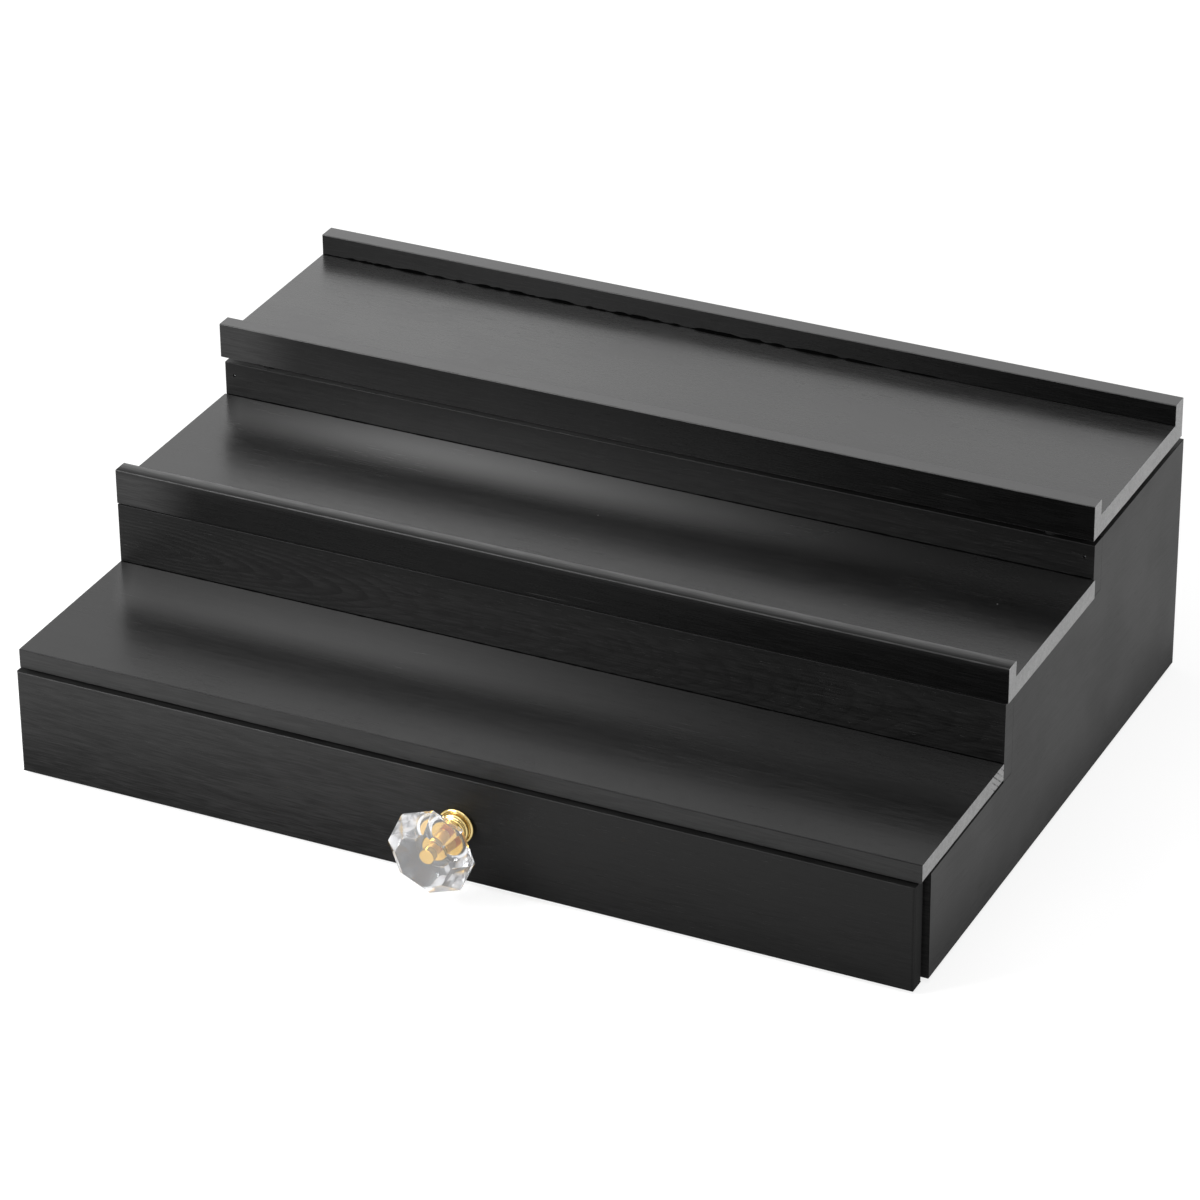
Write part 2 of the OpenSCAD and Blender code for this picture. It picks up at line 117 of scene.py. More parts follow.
def vector(tree, operation, a, b=None):
    """Maths on vectors. b is a number for SCALE, is left out for LENGTH, and is a vector otherwise."""
    inputs = {0: a}
    if b is not None:
        inputs["Scale" if operation == "SCALE" else 1] = b
    made = add(tree, "ShaderNodeVectorMath", inputs, operation=operation)
    return made.outputs["Value" if operation == "LENGTH" else "Vector"]


def parts(tree, value):
    """The X, Y and Z of a vector."""
    return add(tree, "ShaderNodeSeparateXYZ", {0: value}).outputs


def stretch(tree, value, low, high, to_low=0.0, to_high=1.0):
    """Maps a mask from one range to another, with soft ends."""
    inputs = {"Value": value, "From Min": low, "From Max": high, "To Min": to_low, "To Max": to_high}
    return add(tree, "ShaderNodeMapRange", inputs, interpolation_type="SMOOTHSTEP").outputs[0]


def noise(tree, place, waves, detail=2.0, roughness=0.5, seed=0.0, output="Fac"):
    """Noise with its own number of waves per metre on each axis."""
    inputs = {"Vector": vector(tree, "MULTIPLY", place, waves), "W": seed, "Scale": 1.0, "Detail": detail,
              "Roughness": roughness}
    return add(tree, "ShaderNodeTexNoise", inputs, noise_dimensions="4D").outputs[output]


def blend(tree, mask, first, second):
    """Mixes two colours by a mask."""
    return add(tree, "ShaderNodeMix", {0: mask, 6: first, 7: second}, data_type="RGBA").outputs[2]


def grey(value):
    return (value, value, value, 1.0)


print("a middle grey is written as", grey(0.5))

# %% [markdown]
# ## Starting a finish or a group
# A finish starts as a material with one Principled surface and the piece's own coordinates to hang its
# pattern on. What several finishes share goes into a group, which is built once and placed in each of them
# with its own values.

# %% Starting helpers
def new_finish(name):
    """A material, its tree, its surface, and the place on the piece."""
    material = bpy.data.materials.new(name)
    material.use_nodes = True
    tree = material.node_tree
    place = add(tree, "ShaderNodeTexCoord").outputs["Object"]
    return material, tree, tree.nodes["Principled BSDF"], place


def emboss(tree, surface, height, depth, strength=1.0):
    """Bumps the surface by a mask. depth is in mm."""
    bump = add(tree, "ShaderNodeBump", {"Height": height, "Distance": depth * MM, "Strength": strength})
    fill(tree, surface, {"Normal": bump.outputs[0]})


def new_tree(kind, name, inputs, outputs):
    """A node group and what its input node gives. inputs and outputs map a label to its socket's kind."""
    tree = bpy.data.node_groups.new(name, kind + "NodeTree")
    for way, sockets in (("INPUT", inputs), ("OUTPUT", outputs)):
        for label, socket in sockets.items():
            tree.interface.new_socket(name=label, in_out=way, socket_type="NodeSocket" + socket)
    return tree, add(tree, "NodeGroupInput").outputs


print("materials before the first finish:", len(bpy.data.materials))

# %% [markdown]
# ## The wood's figure
# Growth rings are tubes round the middle of the tree, so the pattern is the distance from a leaning line: a
# face that cuts the tubes at a slant shows arches, and an end shows arcs. Fibres and pores are noise
# stretched along the grain. A painted picture could not turn the corner from face to end like this.

# %% Shader group for the wood
# Waves per metre along the board, across it and through it.
SWAY_WAVES = (4, 26, 26)
FIBRE_WAVES = (42, 620, 620)
THREAD_WAVES = (90, 2200, 2200)
PORE_WAVES = (130, 2200, 2200)
CLOUD_WAVES = (9, 70, 70)
SWAY_REACH = 11 * MM


def make_wood_group():
    tree, given = new_tree(
        "Shader", "wood figure",
        {"Place": "Vector", "Heart": "Vector", "Lean": "Vector", "Ring width": "Float", "Board": "Float"},
        {"Fibre": "Float", "Rings": "Float", "Pores": "Float", "Height": "Float"})
    place = given["Place"]
    seed = given["Board"]
    wander = noise(tree, place, SWAY_WAVES, 3.0, 0.55, seed, "Color")
    sway = vector(tree, "SCALE", vector(tree, "SUBTRACT", wander, (0.5, 0.5, 0.5)), SWAY_REACH)
    centred = vector(tree, "SUBTRACT", place, given["Heart"])
    lean = vector(tree, "SCALE", given["Lean"], parts(tree, centred)["X"])
    swayed = vector(tree, "ADD", vector(tree, "ADD", centred, lean), sway)
    far = vector(tree, "LENGTH", vector(tree, "MULTIPLY", swayed, (0, 1, 1)))
    phase = maths(tree, "FRACT", maths(tree, "DIVIDE", far, given["Ring width"]))
    late = times(tree, maths(tree, "POWER", phase, 3.0), stretch(tree, phase, 0.9, 1.0, 1.0, 0.0))
    bent = vector(tree, "ADD", place, sway)
    fibre = noise(tree, bent, FIBRE_WAVES, 4.0, 0.62, seed)
    thread = noise(tree, bent, THREAD_WAVES, 2.0, 0.5, seed)
    cloud = noise(tree, bent, CLOUD_WAVES, 3.0, 0.6, seed)
    pores = stretch(tree, noise(tree, bent, PORE_WAVES, 1.0, 0.5, seed), 0.66, 0.74)
    fine = maths(tree, "ADD", times(tree, fibre, 0.33), times(tree, thread, 0.52))
    mixed = maths(tree, "ADD", fine, times(tree, cloud, 0.15))
    broken = times(tree, late, stretch(tree, thread, 0.42, 0.56, 0.15, 1.0))
    raised = maths(tree, "SUBTRACT", maths(tree, "ADD", mixed, times(tree, late, 0.25)),
                   times(tree, pores, 0.5))
    add(tree, "NodeGroupOutput", {"Fibre": mixed, "Rings": broken, "Pores": pores, "Height": raised})
    return tree


wood_group = make_wood_group()
print("wood figure:", len(wood_group.nodes), "nodes")

# %% [markdown]
# ## Marks of use
# A black finish is never quite clean: palms leave smudges that change the gloss, specks of lint sit on it,
# and short scratches come in patches. They could be painted on each board, but as masks in one group every
# board shares them at its own strength.

# %% Shader group for smudges, specks and scratches
SMUDGE_WAVES = (16, 24, 24)
SCRATCH_WAVES = (24, 1500, 1500)
PATCH_WAVES = (12, 160, 160)
SPECK_CELLS, SPECK_SIZE = 32.0, 0.012


def make_marks_group():
    tree, given = new_tree("Shader", "marks of use", {"Place": "Vector", "Board": "Float"},
                           {"Smudge": "Float", "Specks": "Float", "Scratches": "Float"})
    place = given["Place"]
    seed = given["Board"]
    smudge = noise(tree, place, SMUDGE_WAVES, 3.0, 0.55, seed)
    cells = add(tree, "ShaderNodeTexVoronoi", {"Vector": place, "Scale": SPECK_CELLS, "Randomness": 1.0})
    speck = stretch(tree, cells.outputs["Distance"], SPECK_SIZE / 2, SPECK_SIZE, 1.0, 0.0)
    hair = stretch(tree, noise(tree, place, SCRATCH_WAVES, 1.0, 0.5, seed), 0.70, 0.76)
    patch = stretch(tree, noise(tree, place, PATCH_WAVES, 1.0, 0.5, seed), 0.52, 0.60)
    add(tree, "NodeGroupOutput", {"Smudge": stretch(tree, smudge, 0.35, 0.7), "Specks": speck,
                                  "Scratches": times(tree, hair, patch)})
    return tree


marks_group = make_marks_group()
print("marks of use:", len(marks_group.nodes), "nodes")

# %% [markdown]
# ## Painted light and shade, saw marks and a dull film
# Some bands of the stain are painted lighter or darker to stand in for light and shade that falls across the
# boards: painted highlights and reflections, and painted shade under the lips, beside the knob and near the
# floor. A saw leaves slanting strokes in end grain, and a dull film lies along the risers. A painted picture
# could hold all this, but masks on the board's own coordinates stay sharp from near by.

# %% Masks on a board
# The film ends at the left along a slanting line, and fades out to the right.
FILM_SLANT = 0.484
FILM_START = (-0.203, -0.192)
FILM_RISE = (-0.215, -0.09)
FILM_FALL = (-0.09, 0.19)
FILM_ROUGHNESS = 0.6
# The saw's strokes follow one another in this direction of y and z, one for each pitch.
SAW_STROKE = (0.63, 0.77)
SAW_PITCH = 2.3 * MM
SAW_WAVES = (300, 500, 500)
SAW_TONE = 0.035


def paint_light_band(tree, spot, pale, stain, axis, start, end, tone, strength):
    """Paints light or shade into the stain: turns it to another grey at start, and less and less until end.
    A lighter grey is painted light, a darker one painted shade. Pale grain takes more of it.
    """
    grain = maths(tree, "MULTIPLY_ADD", pale, 0.4, 0.6)
    painted_band = times(tree, stretch(tree, spot[axis], start, end, strength, 0.0), grain)
    return blend(tree, painted_band, stain, grey(tone))


def saw(tree, place, spot, stain, start, end):
    """Dark strokes across the end grain, which come in from one y to another."""
    stroke_y, stroke_z = SAW_STROKE
    across = maths(tree, "ADD", times(tree, spot["Y"], stroke_y), times(tree, spot["Z"], stroke_z))
    wave = maths(tree, "SINE", times(tree, across, 2 * math.pi / SAW_PITCH))
    uneven = stretch(tree, noise(tree, place, SAW_WAVES, 2.0, 0.6), 0.35, 0.60)
    stroke = times(tree, stretch(tree, wave, 0.35, 0.95), uneven)
    deep = times(tree, stroke, stretch(tree, spot["Y"], start, end))
    return blend(tree, deep, stain, grey(SAW_TONE))


def dull_film(tree, surface, spot, riser_y, reach, soft, weight, left_share, right_share, index):
    """A rough coat along a riser, which comes out by reach and fades over soft either way, in metres. The
    shares tell how much of its weight is left at either end, and index is its refraction."""
    near = stretch(tree, spot["Y"], riser_y - reach - soft, riser_y - reach + soft, 0.0, weight)
    fall = stretch(tree, spot["X"], *FILM_FALL, 1.0, 0.0)
    right = maths(tree, "MULTIPLY_ADD", times(tree, fall, fall), 1.0 - right_share, right_share)
    length = times(tree, right, stretch(tree, spot["X"], *FILM_RISE, left_share, 1.0))
    slant = maths(tree, "MULTIPLY_ADD", spot["Y"], FILM_SLANT, -riser_y * FILM_SLANT)
    wiped = stretch(tree, maths(tree, "ADD", spot["X"], slant), *FILM_START)
    kept = times(tree, times(tree, near, length), wiped)
    fill(tree, surface, {"Coat Weight": kept, "Coat Roughness": FILM_ROUGHNESS, "Coat IOR": index})


print("a saw stroke every", SAW_PITCH / MM, "mm")

# %% [markdown]
# ## Black stain on pine
# The boards are stained black and sealed with satin lacquer. The colour hardly varies, so the eye reads the
# gloss: shelf tops are smooth, while risers kept their open grain. One function mixes the finish, and each
# kind of surface gives its own greys, gloss and relief.

# %% Stained wood
SCRATCH_TONE = 0.06
SPECK_TONE = 0.35
finishes = {}


def stained_wood(name, dark, light, gloss, shine=0.5, relief=0.05, rings=0.3, board=0.0, turn=0.0,
                 heart=(0.0, 0.3, -0.4), lean=(0.0, 0.05, 0.05), ring_width=0.004, grain=0.06, smudge=0.05,
                 specks=0.0, scratches=0.0, film=None, figure_end=None, painted_light_bands=(), sawn=None):
    """Adds a finish. dark and light are the stain's greys, gloss its roughness, shine its specular level,
    relief the grain's depth in mm, rings their strength and board the seed. figure_end is the x where the
    rings fade into straight grain. film, the bands of painted light and shade, and sawn hold what the mask
    functions take."""
    material, tree, surface, place = new_finish(name)
    turned = add(tree, "ShaderNodeMapping", {"Vector": place, "Rotation": (0, 0, turn)}).outputs[0]
    figure = {"Place": turned, "Heart": heart, "Lean": lean, "Ring width": ring_width, "Board": board}
    wood = add(tree, "ShaderNodeGroup", figure, node_tree=wood_group).outputs
    marks = add(tree, "ShaderNodeGroup", {"Place": place, "Board": board}, node_tree=marks_group).outputs
    spot = parts(tree, place)

    ringed = times(tree, wood["Rings"], rings)
    if figure_end is not None:
        straight = stretch(tree, spot["X"], figure_end - 0.02, figure_end + 0.03, 1.0, 0.15)
        ringed = times(tree, ringed, straight)
    pale = maths(tree, "SUBTRACT", stretch(tree, wood["Fibre"], 0.38, 0.63), ringed, clamp=True)
    stain = blend(tree, wood["Pores"], blend(tree, pale, grey(dark), grey(light)), grey(dark * 0.5))
    # Bands of painted light and shade: a lighter grey is a painted highlight or reflection, a darker one
    # painted shade.
    for painted_band in painted_light_bands:
        stain = paint_light_band(tree, spot, pale, stain, *painted_band)
    if sawn:
        stain = saw(tree, place, spot, stain, *sawn)
    stain = blend(tree, times(tree, marks["Scratches"], scratches), stain, grey(SCRATCH_TONE))
    stain = blend(tree, times(tree, marks["Specks"], specks), stain, grey(SPECK_TONE))

    dull = maths(tree, "ADD", times(tree, pale, grain), gloss)
    smeared = times(tree, marks["Smudge"], smudge)
    rough = maths(tree, "ADD", dull, smeared, clamp=True)
    fill(tree, surface, {"Base Color": stain, "Roughness": rough, "Specular IOR Level": shine})
    emboss(tree, surface, wood["Height"], relief)
    if film:
        dull_film(tree, surface, spot, **film)
    finishes[name] = material


print("every stained finish shares:", wood_group.name, "and", marks_group.name)

# %% [markdown]
# ## The finishes of the shelves and lips
# Each face has its own finish: the two shelf tops have the film, and only the lid is evenly glossy. Some
# carry
# painted light and shade: the middle shelf top is painted darker towards its right end, and the lip faces are
# painted lighter at their left ends. One finish for all boards would be shorter, but every face would look
# alike.

# %% Finishes of shelves, lid and lips
LOW_FILM = {"riser_y": -0.0414, "reach": 0.0326, "soft": 0.012, "weight": 0.48, "left_share": 0.8,
            "right_share": 0.16, "index": 2.3}
HIGH_FILM = {"riser_y": 0.0532, "reach": 0.0227, "soft": 0.0165, "weight": 1.0, "left_share": 0.25,
             "right_share": 0.04, "index": 2.9}
stained_wood("low_shelf_top", 0.007, 0.011, 0.18, 0.25, 0.02, board=1.0, specks=0.5, film=LOW_FILM)
# Painted shade: the middle shelf top turns darker towards its right end, where less light falls.
stained_wood("middle_shelf_top", 0.005, 0.009, 0.18, 0.50, 0.02, board=2.0, specks=0.4, film=HIGH_FILM,
             painted_light_bands=[("X", 0.16, 0.0, 0.001, 0.6)])
stained_wood("lid_top", 0.012, 0.018, 0.23, 0.90, 0.02, board=3.0, specks=0.3)
stained_wood("shelf_edge", 0.012, 0.022, 0.35, 0.25, 0.03, board=3.5)
# Painted light: the back lip's and lid lip's faces turn lighter towards their left ends, and the lid lip's
# and middle lip's very left ends carry a narrow painted reflection.
stained_wood("lip_face", 0.002, 0.004, 0.22, 0.10, 0.02, board=4.0, specks=0.4, scratches=0.9,
             painted_light_bands=[("X", -0.20, 0.10, 0.011, 1.0)])
stained_wood("lid_lip_face", 0.002, 0.004, 0.22, 0.10, 0.02, board=4.05, specks=0.4, scratches=0.9,
             painted_light_bands=[("X", -0.20, 0.10, 0.011, 1.0), ("X", -0.190, -0.160, 0.034, 1.0)])
# The middle lip's face is also painted lighter along its top: a painted highlight.
stained_wood("middle_lip_face", 0.002, 0.004, 0.22, 0.11, 0.02, board=4.1, specks=0.3, scratches=0.5,
             painted_light_bands=[("X", -0.192, -0.160, 0.032, 1.0), ("Z", 0.1012, 0.0980, 0.014, 1.0)])
# Painted highlight: the middle lip's top turns light towards its back edge, as the reflection on a rounded
# edge.
stained_wood("middle_lip_top", 0.001, 0.003, 0.32, 0.06, 0.02, board=4.2,
             painted_light_bands=[("Y", -0.0325, -0.0405, 0.140, 1.0)])
stained_wood("lip_arris", 0.012, 0.040, 0.34, 0.20, 0.02, board=4.3)
stained_wood("lid_lip_top", 0.012, 0.020, 0.30, 1.00, 0.02, board=4.4)
print("finishes of shelves, lid and lips:", len(finishes))

# %% [markdown]
# ## The finishes of upright boards, ends and edges
# Upright boards are rougher and show more figure: arches on the lower riser, broad rings on the drawer
# front. The sides' grain runs from front to back, so their pattern is turned a quarter. Sanded ends show
# pale wood, and the lower shelf's ends still have saw marks at their back corners.

# %% Finishes of risers, sides, ends and edges
QUARTER_TURN = math.radians(90)
END_HEART = (0.0, -0.02, 0.03)
NO_LEAN = (0.0, 0.0, 0.0)
END_RING = 0.0028
# Painted shadow: both risers turn darker along their tops, in the shade of the lip above each.
stained_wood("lower_riser", 0.001, 0.009, 0.42, 0.18, 0.10, 3.0, 5.0, heart=(-0.190, -0.0413, 0.070),
             lean=(0.0, 0.13, 0.0), ring_width=0.0016, figure_end=-0.09,
             painted_light_bands=[("Z", 0.0855, 0.0775, 0.001, 0.9)])
stained_wood("upper_riser", 0.001, 0.008, 0.42, 0.18, 0.09, 0.4, 6.0,
             painted_light_bands=[("Z", 0.1095, 0.1020, 0.001, 0.9)])
# Painted light: the upper riser's top, seen in the gap under the lid, turns lighter towards the left.
stained_wood("upper_riser_top", 0.004, 0.010, 0.42, 0.15, 0.02, board=6.5,
             painted_light_bands=[("X", -0.05, 0.12, 0.050, 1.0)])
stained_wood("upper_riser_arris", 0.004, 0.018, 0.42, 0.15, 0.02, board=6.6)
# Painted light and shade: the drawer front turns lighter towards its top, and darker to the right of the
# knob, a painted shadow of the knob.
stained_wood("drawer_front", 0.003, 0.015, 0.38, 0.14, 0.09, 0.30, 7.0, heart=(-0.1, -0.10, -0.03),
             lean=(0.0, 0.02, 0.03), ring_width=0.009,
             painted_light_bands=[("Z", 0.048, 0.004, 0.026, 0.75), ("X", 0.03, -0.03, 0.004, 0.65)])
# Painted shade: the side panels, and the riser and back panel ends that share this finish, turn darker
# towards the bottom, near the floor.
stained_wood("side_panel", 0.022, 0.046, 0.42, 0.11, 0.04, 0.4, 8.0, QUARTER_TURN,
             heart=(0.0, -0.26, -0.06), lean=(0.0, 0.04, 0.10), ring_width=0.012, smudge=0.06, specks=0.3,
             scratches=0.4, painted_light_bands=[("Z", 0.0, 0.034, 0.004, 0.9)])
stained_wood("back_panel", 0.016, 0.030, 0.45, 0.25, 0.07, 0.9, 9.0, heart=(0.05, 0.15, 0.02),
             lean=(0.0, 0.03, 0.03), ring_width=0.008)
stained_wood("drawer_wood", 0.020, 0.040, 0.50, 0.30, 0.09, 0.9, 10.0)
stained_wood("drawer_side_wood", 0.020, 0.040, 0.50, 0.30, 0.09, 0.9, 11.0, QUARTER_TURN)
stained_wood("thin_panel", 0.026, 0.050, 0.55, 0.25, 0.05, 0.6, 12.0, ring_width=0.009)
stained_wood("end_grain_pale", 0.32, 0.50, 0.55, 0.35, 0.05, 0.2, 13.0, heart=END_HEART, lean=NO_LEAN,
             ring_width=END_RING)
stained_wood("end_grain_sawn", 0.32, 0.50, 0.55, 0.35, 0.05, 0.2, 13.0, heart=END_HEART, lean=NO_LEAN,
             ring_width=END_RING, sawn=(-0.056, -0.051))
stained_wood("end_grain_dark", 0.022, 0.044, 0.42, 0.11, 0.05, 0.3, 14.0)
stained_wood("end_grain_black", 0.005, 0.010, 0.55, 0.05, 0.03, board=14.5)
stained_wood("worn_arris", 0.014, 0.060, 0.34, 0.35, 0.05, 0.2, 15.0, grain=0.2)
stained_wood("dark_arris", 0.002, 0.012, 0.40, 0.12, 0.02, board=15.5, specks=0.5)
print("wood finishes:", len(finishes))

# %% [markdown]
# ## Polished brass and zinc
# The knob's base and the hinges are brass plated and buffed, so fine scratches run through the gloss, and
# screws are duller zinc. A constant roughness would look like plastic, so noise drawn out into hairs feeds
# both the roughness and a very shallow relief.

# %% Metals
HAIR_WAVES = (900, 260, 5200)
TARNISH_WAVES = (120, 120, 120)
TARNISH_SEED = 3.0
HAIR_DEPTH = 0.004


def scratched_metal(name, colour, tint, gloss, scratch=0.12):
    material, tree, surface, place = new_finish(name)
    hair = noise(tree, place, HAIR_WAVES, 3.0, 0.6)
    cloud = stretch(tree, noise(tree, place, TARNISH_WAVES, 2.0, 0.5, TARNISH_SEED), 0.3, 0.7)
    rough = maths(tree, "ADD", times(tree, stretch(tree, hair, 0.45, 0.75), scratch), gloss)
    fill(tree, surface, {"Base Color": blend(tree, cloud, colour, tint), "Roughness": rough, "Metallic": 1.0})
    emboss(tree, surface, hair, HAIR_DEPTH, 0.6)
    return material


gold = scratched_metal("polished_brass", (0.59, 0.44, 0.18, 1.0), (0.69, 0.54, 0.25, 1.0), 0.08)
insert_brass = scratched_metal("insert_brass", (0.78, 0.46, 0.08, 1.0), (0.88, 0.56, 0.13, 1.0), 0.10)
thread_brass = scratched_metal("thread_brass", (0.60, 0.32, 0.06, 1.0), (0.72, 0.44, 0.10, 1.0), 0.30)
zinc = scratched_metal("zinc_plate", (0.55, 0.56, 0.58, 1.0), (0.66, 0.66, 0.66, 1.0), 0.28, 0.2)
print("metals:", [metal.name for metal in (gold, insert_brass, thread_brass, zinc)])

# %% [markdown]
# ## Rubber and crystal
# Feet and pads are matt black rubber, broken up by fine grit. The knob is cut glass, slightly milky. Its
# sparkle comes from its facets, so its finish stays simple, with a trace of grease in its roughness.

# %% Rubber and glass
GRIT_WAVES = (1500, 1500, 1500)
GRIT_DEPTH = 0.02
GREASE_WAVES = (90, 90, 90)


def soft_rubber(name, dark=0.012, light=0.030):
    material, tree, surface, place = new_finish(name)
    grit = noise(tree, place, GRIT_WAVES, 2.0, 0.6)
    rough = stretch(tree, grit, 0.2, 0.8, 0.6, 0.85)
    colour = blend(tree, grit, grey(dark), grey(light))
    fill(tree, surface, {"Base Color": colour, "Roughness": rough, "Specular IOR Level": 0.2})
    emboss(tree, surface, grit, GRIT_DEPTH, 0.8)
    return material


def cut_crystal(name):
    material, tree, surface, place = new_finish(name)
    grease = noise(tree, place, GREASE_WAVES, 2.0, 0.5)
    rough = stretch(tree, grease, 0.3, 0.8, 0.0, 0.03)
    fill(tree, surface, {"Base Color": (0.84, 0.85, 0.87, 1.0), "Roughness": rough,
                         "Transmission Weight": 0.84, "IOR": 1.52})
    return material


rubber = soft_rubber("black_rubber")
pad_rubber = soft_rubber("pad_rubber", 0.002, 0.004)
crystal = cut_crystal("clear_crystal")
print("materials in all:", len(bpy.data.materials))

# %% [markdown]
# ## From a builder to a finished piece
# Pieces are drawn with bmesh, point by point, and then shaped by modifiers, as wood is sawn first and eased
# after. Modifiers become plain mesh, and handing a piece over says which body it rides on and which solids it
# stands for.

# %% Piece helpers
def new_piece(name, builder, materials):
    """An object from a bmesh, with its faces turned outwards."""
    bmesh.ops.recalc_face_normals(builder, faces=builder.faces)
    mesh = bpy.data.meshes.new(name)
    builder.to_mesh(mesh)
    builder.free()
    for material in materials:
        mesh.materials.append(material)
    piece = bpy.data.objects.new(name, mesh)
    scene.collection.objects.link(piece)
    return piece


def keep_mesh(piece):
    """Turns the piece's modifiers into plain mesh."""
    graph = bpy.context.evaluated_depsgraph_get()
    solid = bpy.data.meshes.new_from_object(piece.evaluated_get(graph), depsgraph=graph)
    piece.modifiers.clear()
    piece.data = solid
    return piece


def carve(piece, tool, operation="DIFFERENCE"):
    """Cuts the tool out of the piece, or keeps what both share, and deletes the tool."""
    saw_cut = piece.modifiers.new("carve", "BOOLEAN")
    saw_cut.operation = operation
    saw_cut.solver = "EXACT"
    saw_cut.object = tool
    keep_mesh(piece)
    bpy.data.objects.remove(tool)


def hand_over(piece, body, slot, *nodes):
    """The piece rides on its body and stands for its CAD nodes; slot is not used."""
    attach(piece, body)
    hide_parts(*nodes)


# %% [markdown]
# ## Boards with eased edges
# Most boards are straight blocks whose edges were rounded by sanding. Sharp computer edges catch no light,
# so the rounding is real geometry: each edge carries a weight, and a Bevel modifier turns it into a radius,
# which differs for long edges, end edges and rubbed corners.

# %% Board helpers
ARRIS = 0.35 * MM
FINE_ARRIS = 0.15 * MM
END_ARRIS = 0.08 * MM
SHARP = (END_ARRIS, END_ARRIS)
# Sanding a pale end took the stain off its rounded edges too. These are the least shares of a face's normal
# that point along the grain, from which the face looks like end grain.
SANDED_ENDS = ("end_grain_pale", "end_grain_sawn")
SANDED_SHARE = 0.35
CRISP_SHARE = 0.98


def block(low, high):
    """A box between two corners, as a bmesh."""
    builder = bmesh.new()
    bmesh.ops.create_cube(builder, size=1.0)
    for vertex in builder.verts:
        vertex.co = Vector(low[i] + (vertex.co[i] + 0.5) * (high[i] - low[i]) for i in range(3))
    return builder


def ease(piece, width, segments=4):
    """Rounds the weighted edges, and gives the rounding the third material."""
    bevel = piece.modifiers.new("ease", "BEVEL")
    bevel.limit_method = "WEIGHT"
    bevel.width = width
    bevel.segments = segments
    bevel.material = 2
    bevel.harden_normals = True
    piece.data.shade_smooth()
    return keep_mesh(piece)


def board(name, finish, top_finish, end_finish, arris_finish, grain_axis=0, top_round=ARRIS, corners=SHARP,
          end_round=END_ARRIS):
    """An eased block in the place of the CAD node of that name. top_round is for its upper long edges,
    corners for its lower left and right end edges, and end_round for its upright end edges."""
    low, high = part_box(name)
    builder = block(low, high)
    widest = max(top_round, end_round, FINE_ARRIS, *corners)
    weight = builder.edges.layers.float.new("bevel_weight_edge")
    for edge in builder.edges:
        a, b = edge.verts
        along = max(range(3), key=lambda i: abs(a.co[i] - b.co[i]))
        upper = (a.co.z + b.co.z) / 2 > (low.z + high.z) / 2
        radius = END_ARRIS
        if along == grain_axis:
            radius = top_round if upper else FINE_ARRIS
        elif along == 1 and not upper:
            radius = corners[int(a.co.x > 0)]
        elif along == 2:
            radius = end_round
        edge[weight] = radius / widest
    for face in builder.faces:
        face.normal_update()
        if abs(face.normal[grain_axis]) > 0.5:
            face.material_index = 1
        elif face.normal.z > 0.5:
            face.material_index = 3
    slots = [finishes[key] for key in (finish, end_finish, arris_finish, top_finish)]
    made = ease(new_piece(name + "_board", builder, slots), widest)
    end_share = SANDED_SHARE if end_finish in SANDED_ENDS else CRISP_SHARE
    for face in made.data.polygons:
        if abs(face.normal[grain_axis]) > end_share:
            face.material_index = 1
    return made


print("edges are rounded by", [round(r / MM, 2) for r in (ARRIS, FINE_ARRIS, END_ARRIS)], "mm")

# %% [markdown]
# ## Shelves, risers and lid
# These are plain straight boards in their nodes' own places, so a table says it all: body, finishes and
# roundings. Shelves and lips have pale ends where the stain was sanded through, while the risers' ends are
# as dark as the side panels.

# %% Shelf and lid boards
LIP_CORNERS = (2.2 * MM, END_ARRIS)
SHELF_CORNERS = (2.6 * MM, 1.7 * MM)
LIP_ROUND = 0.45 * MM
FRONT_ROUND = 1.2 * MM
# The finishes of a board's faces, of its top, of its ends and of its long edges.
SHELF = ("shelf_edge", "low_shelf_top", "end_grain_sawn", "dark_arris")
MIDDLE = ("shelf_edge", "middle_shelf_top", "end_grain_pale", "shelf_edge")
LID = ("shelf_edge", "lid_top", "end_grain_pale", "worn_arris")
MIDDLE_LIP = ("middle_lip_face", "middle_lip_top", "end_grain_pale", "lip_arris")
LID_LIP = ("lid_lip_face", "lid_lip_top", "end_grain_pale", "worn_arris")
BACK_LIP = ("lip_face", "lid_lip_top", "end_grain_pale", "worn_arris")
LOW_RISER = ("lower_riser", "lower_riser", "side_panel", "lower_riser")
UP_RISER = ("upper_riser", "upper_riser_top", "side_panel", "upper_riser_arris")
FRONT = ("drawer_front", "end_grain_black", "end_grain_black", "drawer_front")
BACK = ("back_panel", "back_panel", "side_panel", "back_panel")
BOX = ("drawer_wood",) * 4
BOX_SIDE = ("drawer_side_wood",) * 4
# A board's name, body and finishes, and where it differs from a plain board.
BOARDS = [
    ("lower_shelf", "carcass", SHELF, {"corners": SHELF_CORNERS}),
    ("middle_shelf", "carcass", MIDDLE, {"top_round": FINE_ARRIS}),
    ("middle_shelf_lip", "carcass", MIDDLE_LIP, {"top_round": LIP_ROUND, "corners": LIP_CORNERS}),
    ("lower_riser", "carcass", LOW_RISER, {"top_round": FINE_ARRIS}),
    ("upper_riser", "carcass", UP_RISER, {}),
    ("lid_board", "lid", LID, {}),
    ("lid_front_lip", "lid", LID_LIP, {"corners": LIP_CORNERS}),
    ("lid_back_lip", "lid", BACK_LIP, {}),
    ("drawer_front", "drawer", FRONT, {"end_round": FRONT_ROUND}),
    ("back_panel", "carcass", BACK, {}),
    ("drawer_box_front", "drawer", BOX, {}),
    ("drawer_back", "drawer", BOX, {}),
    ("drawer_side_left", "drawer", BOX_SIDE, {"grain_axis": 1}),
    ("drawer_side_right", "drawer", BOX_SIDE, {"grain_axis": 1}),
]
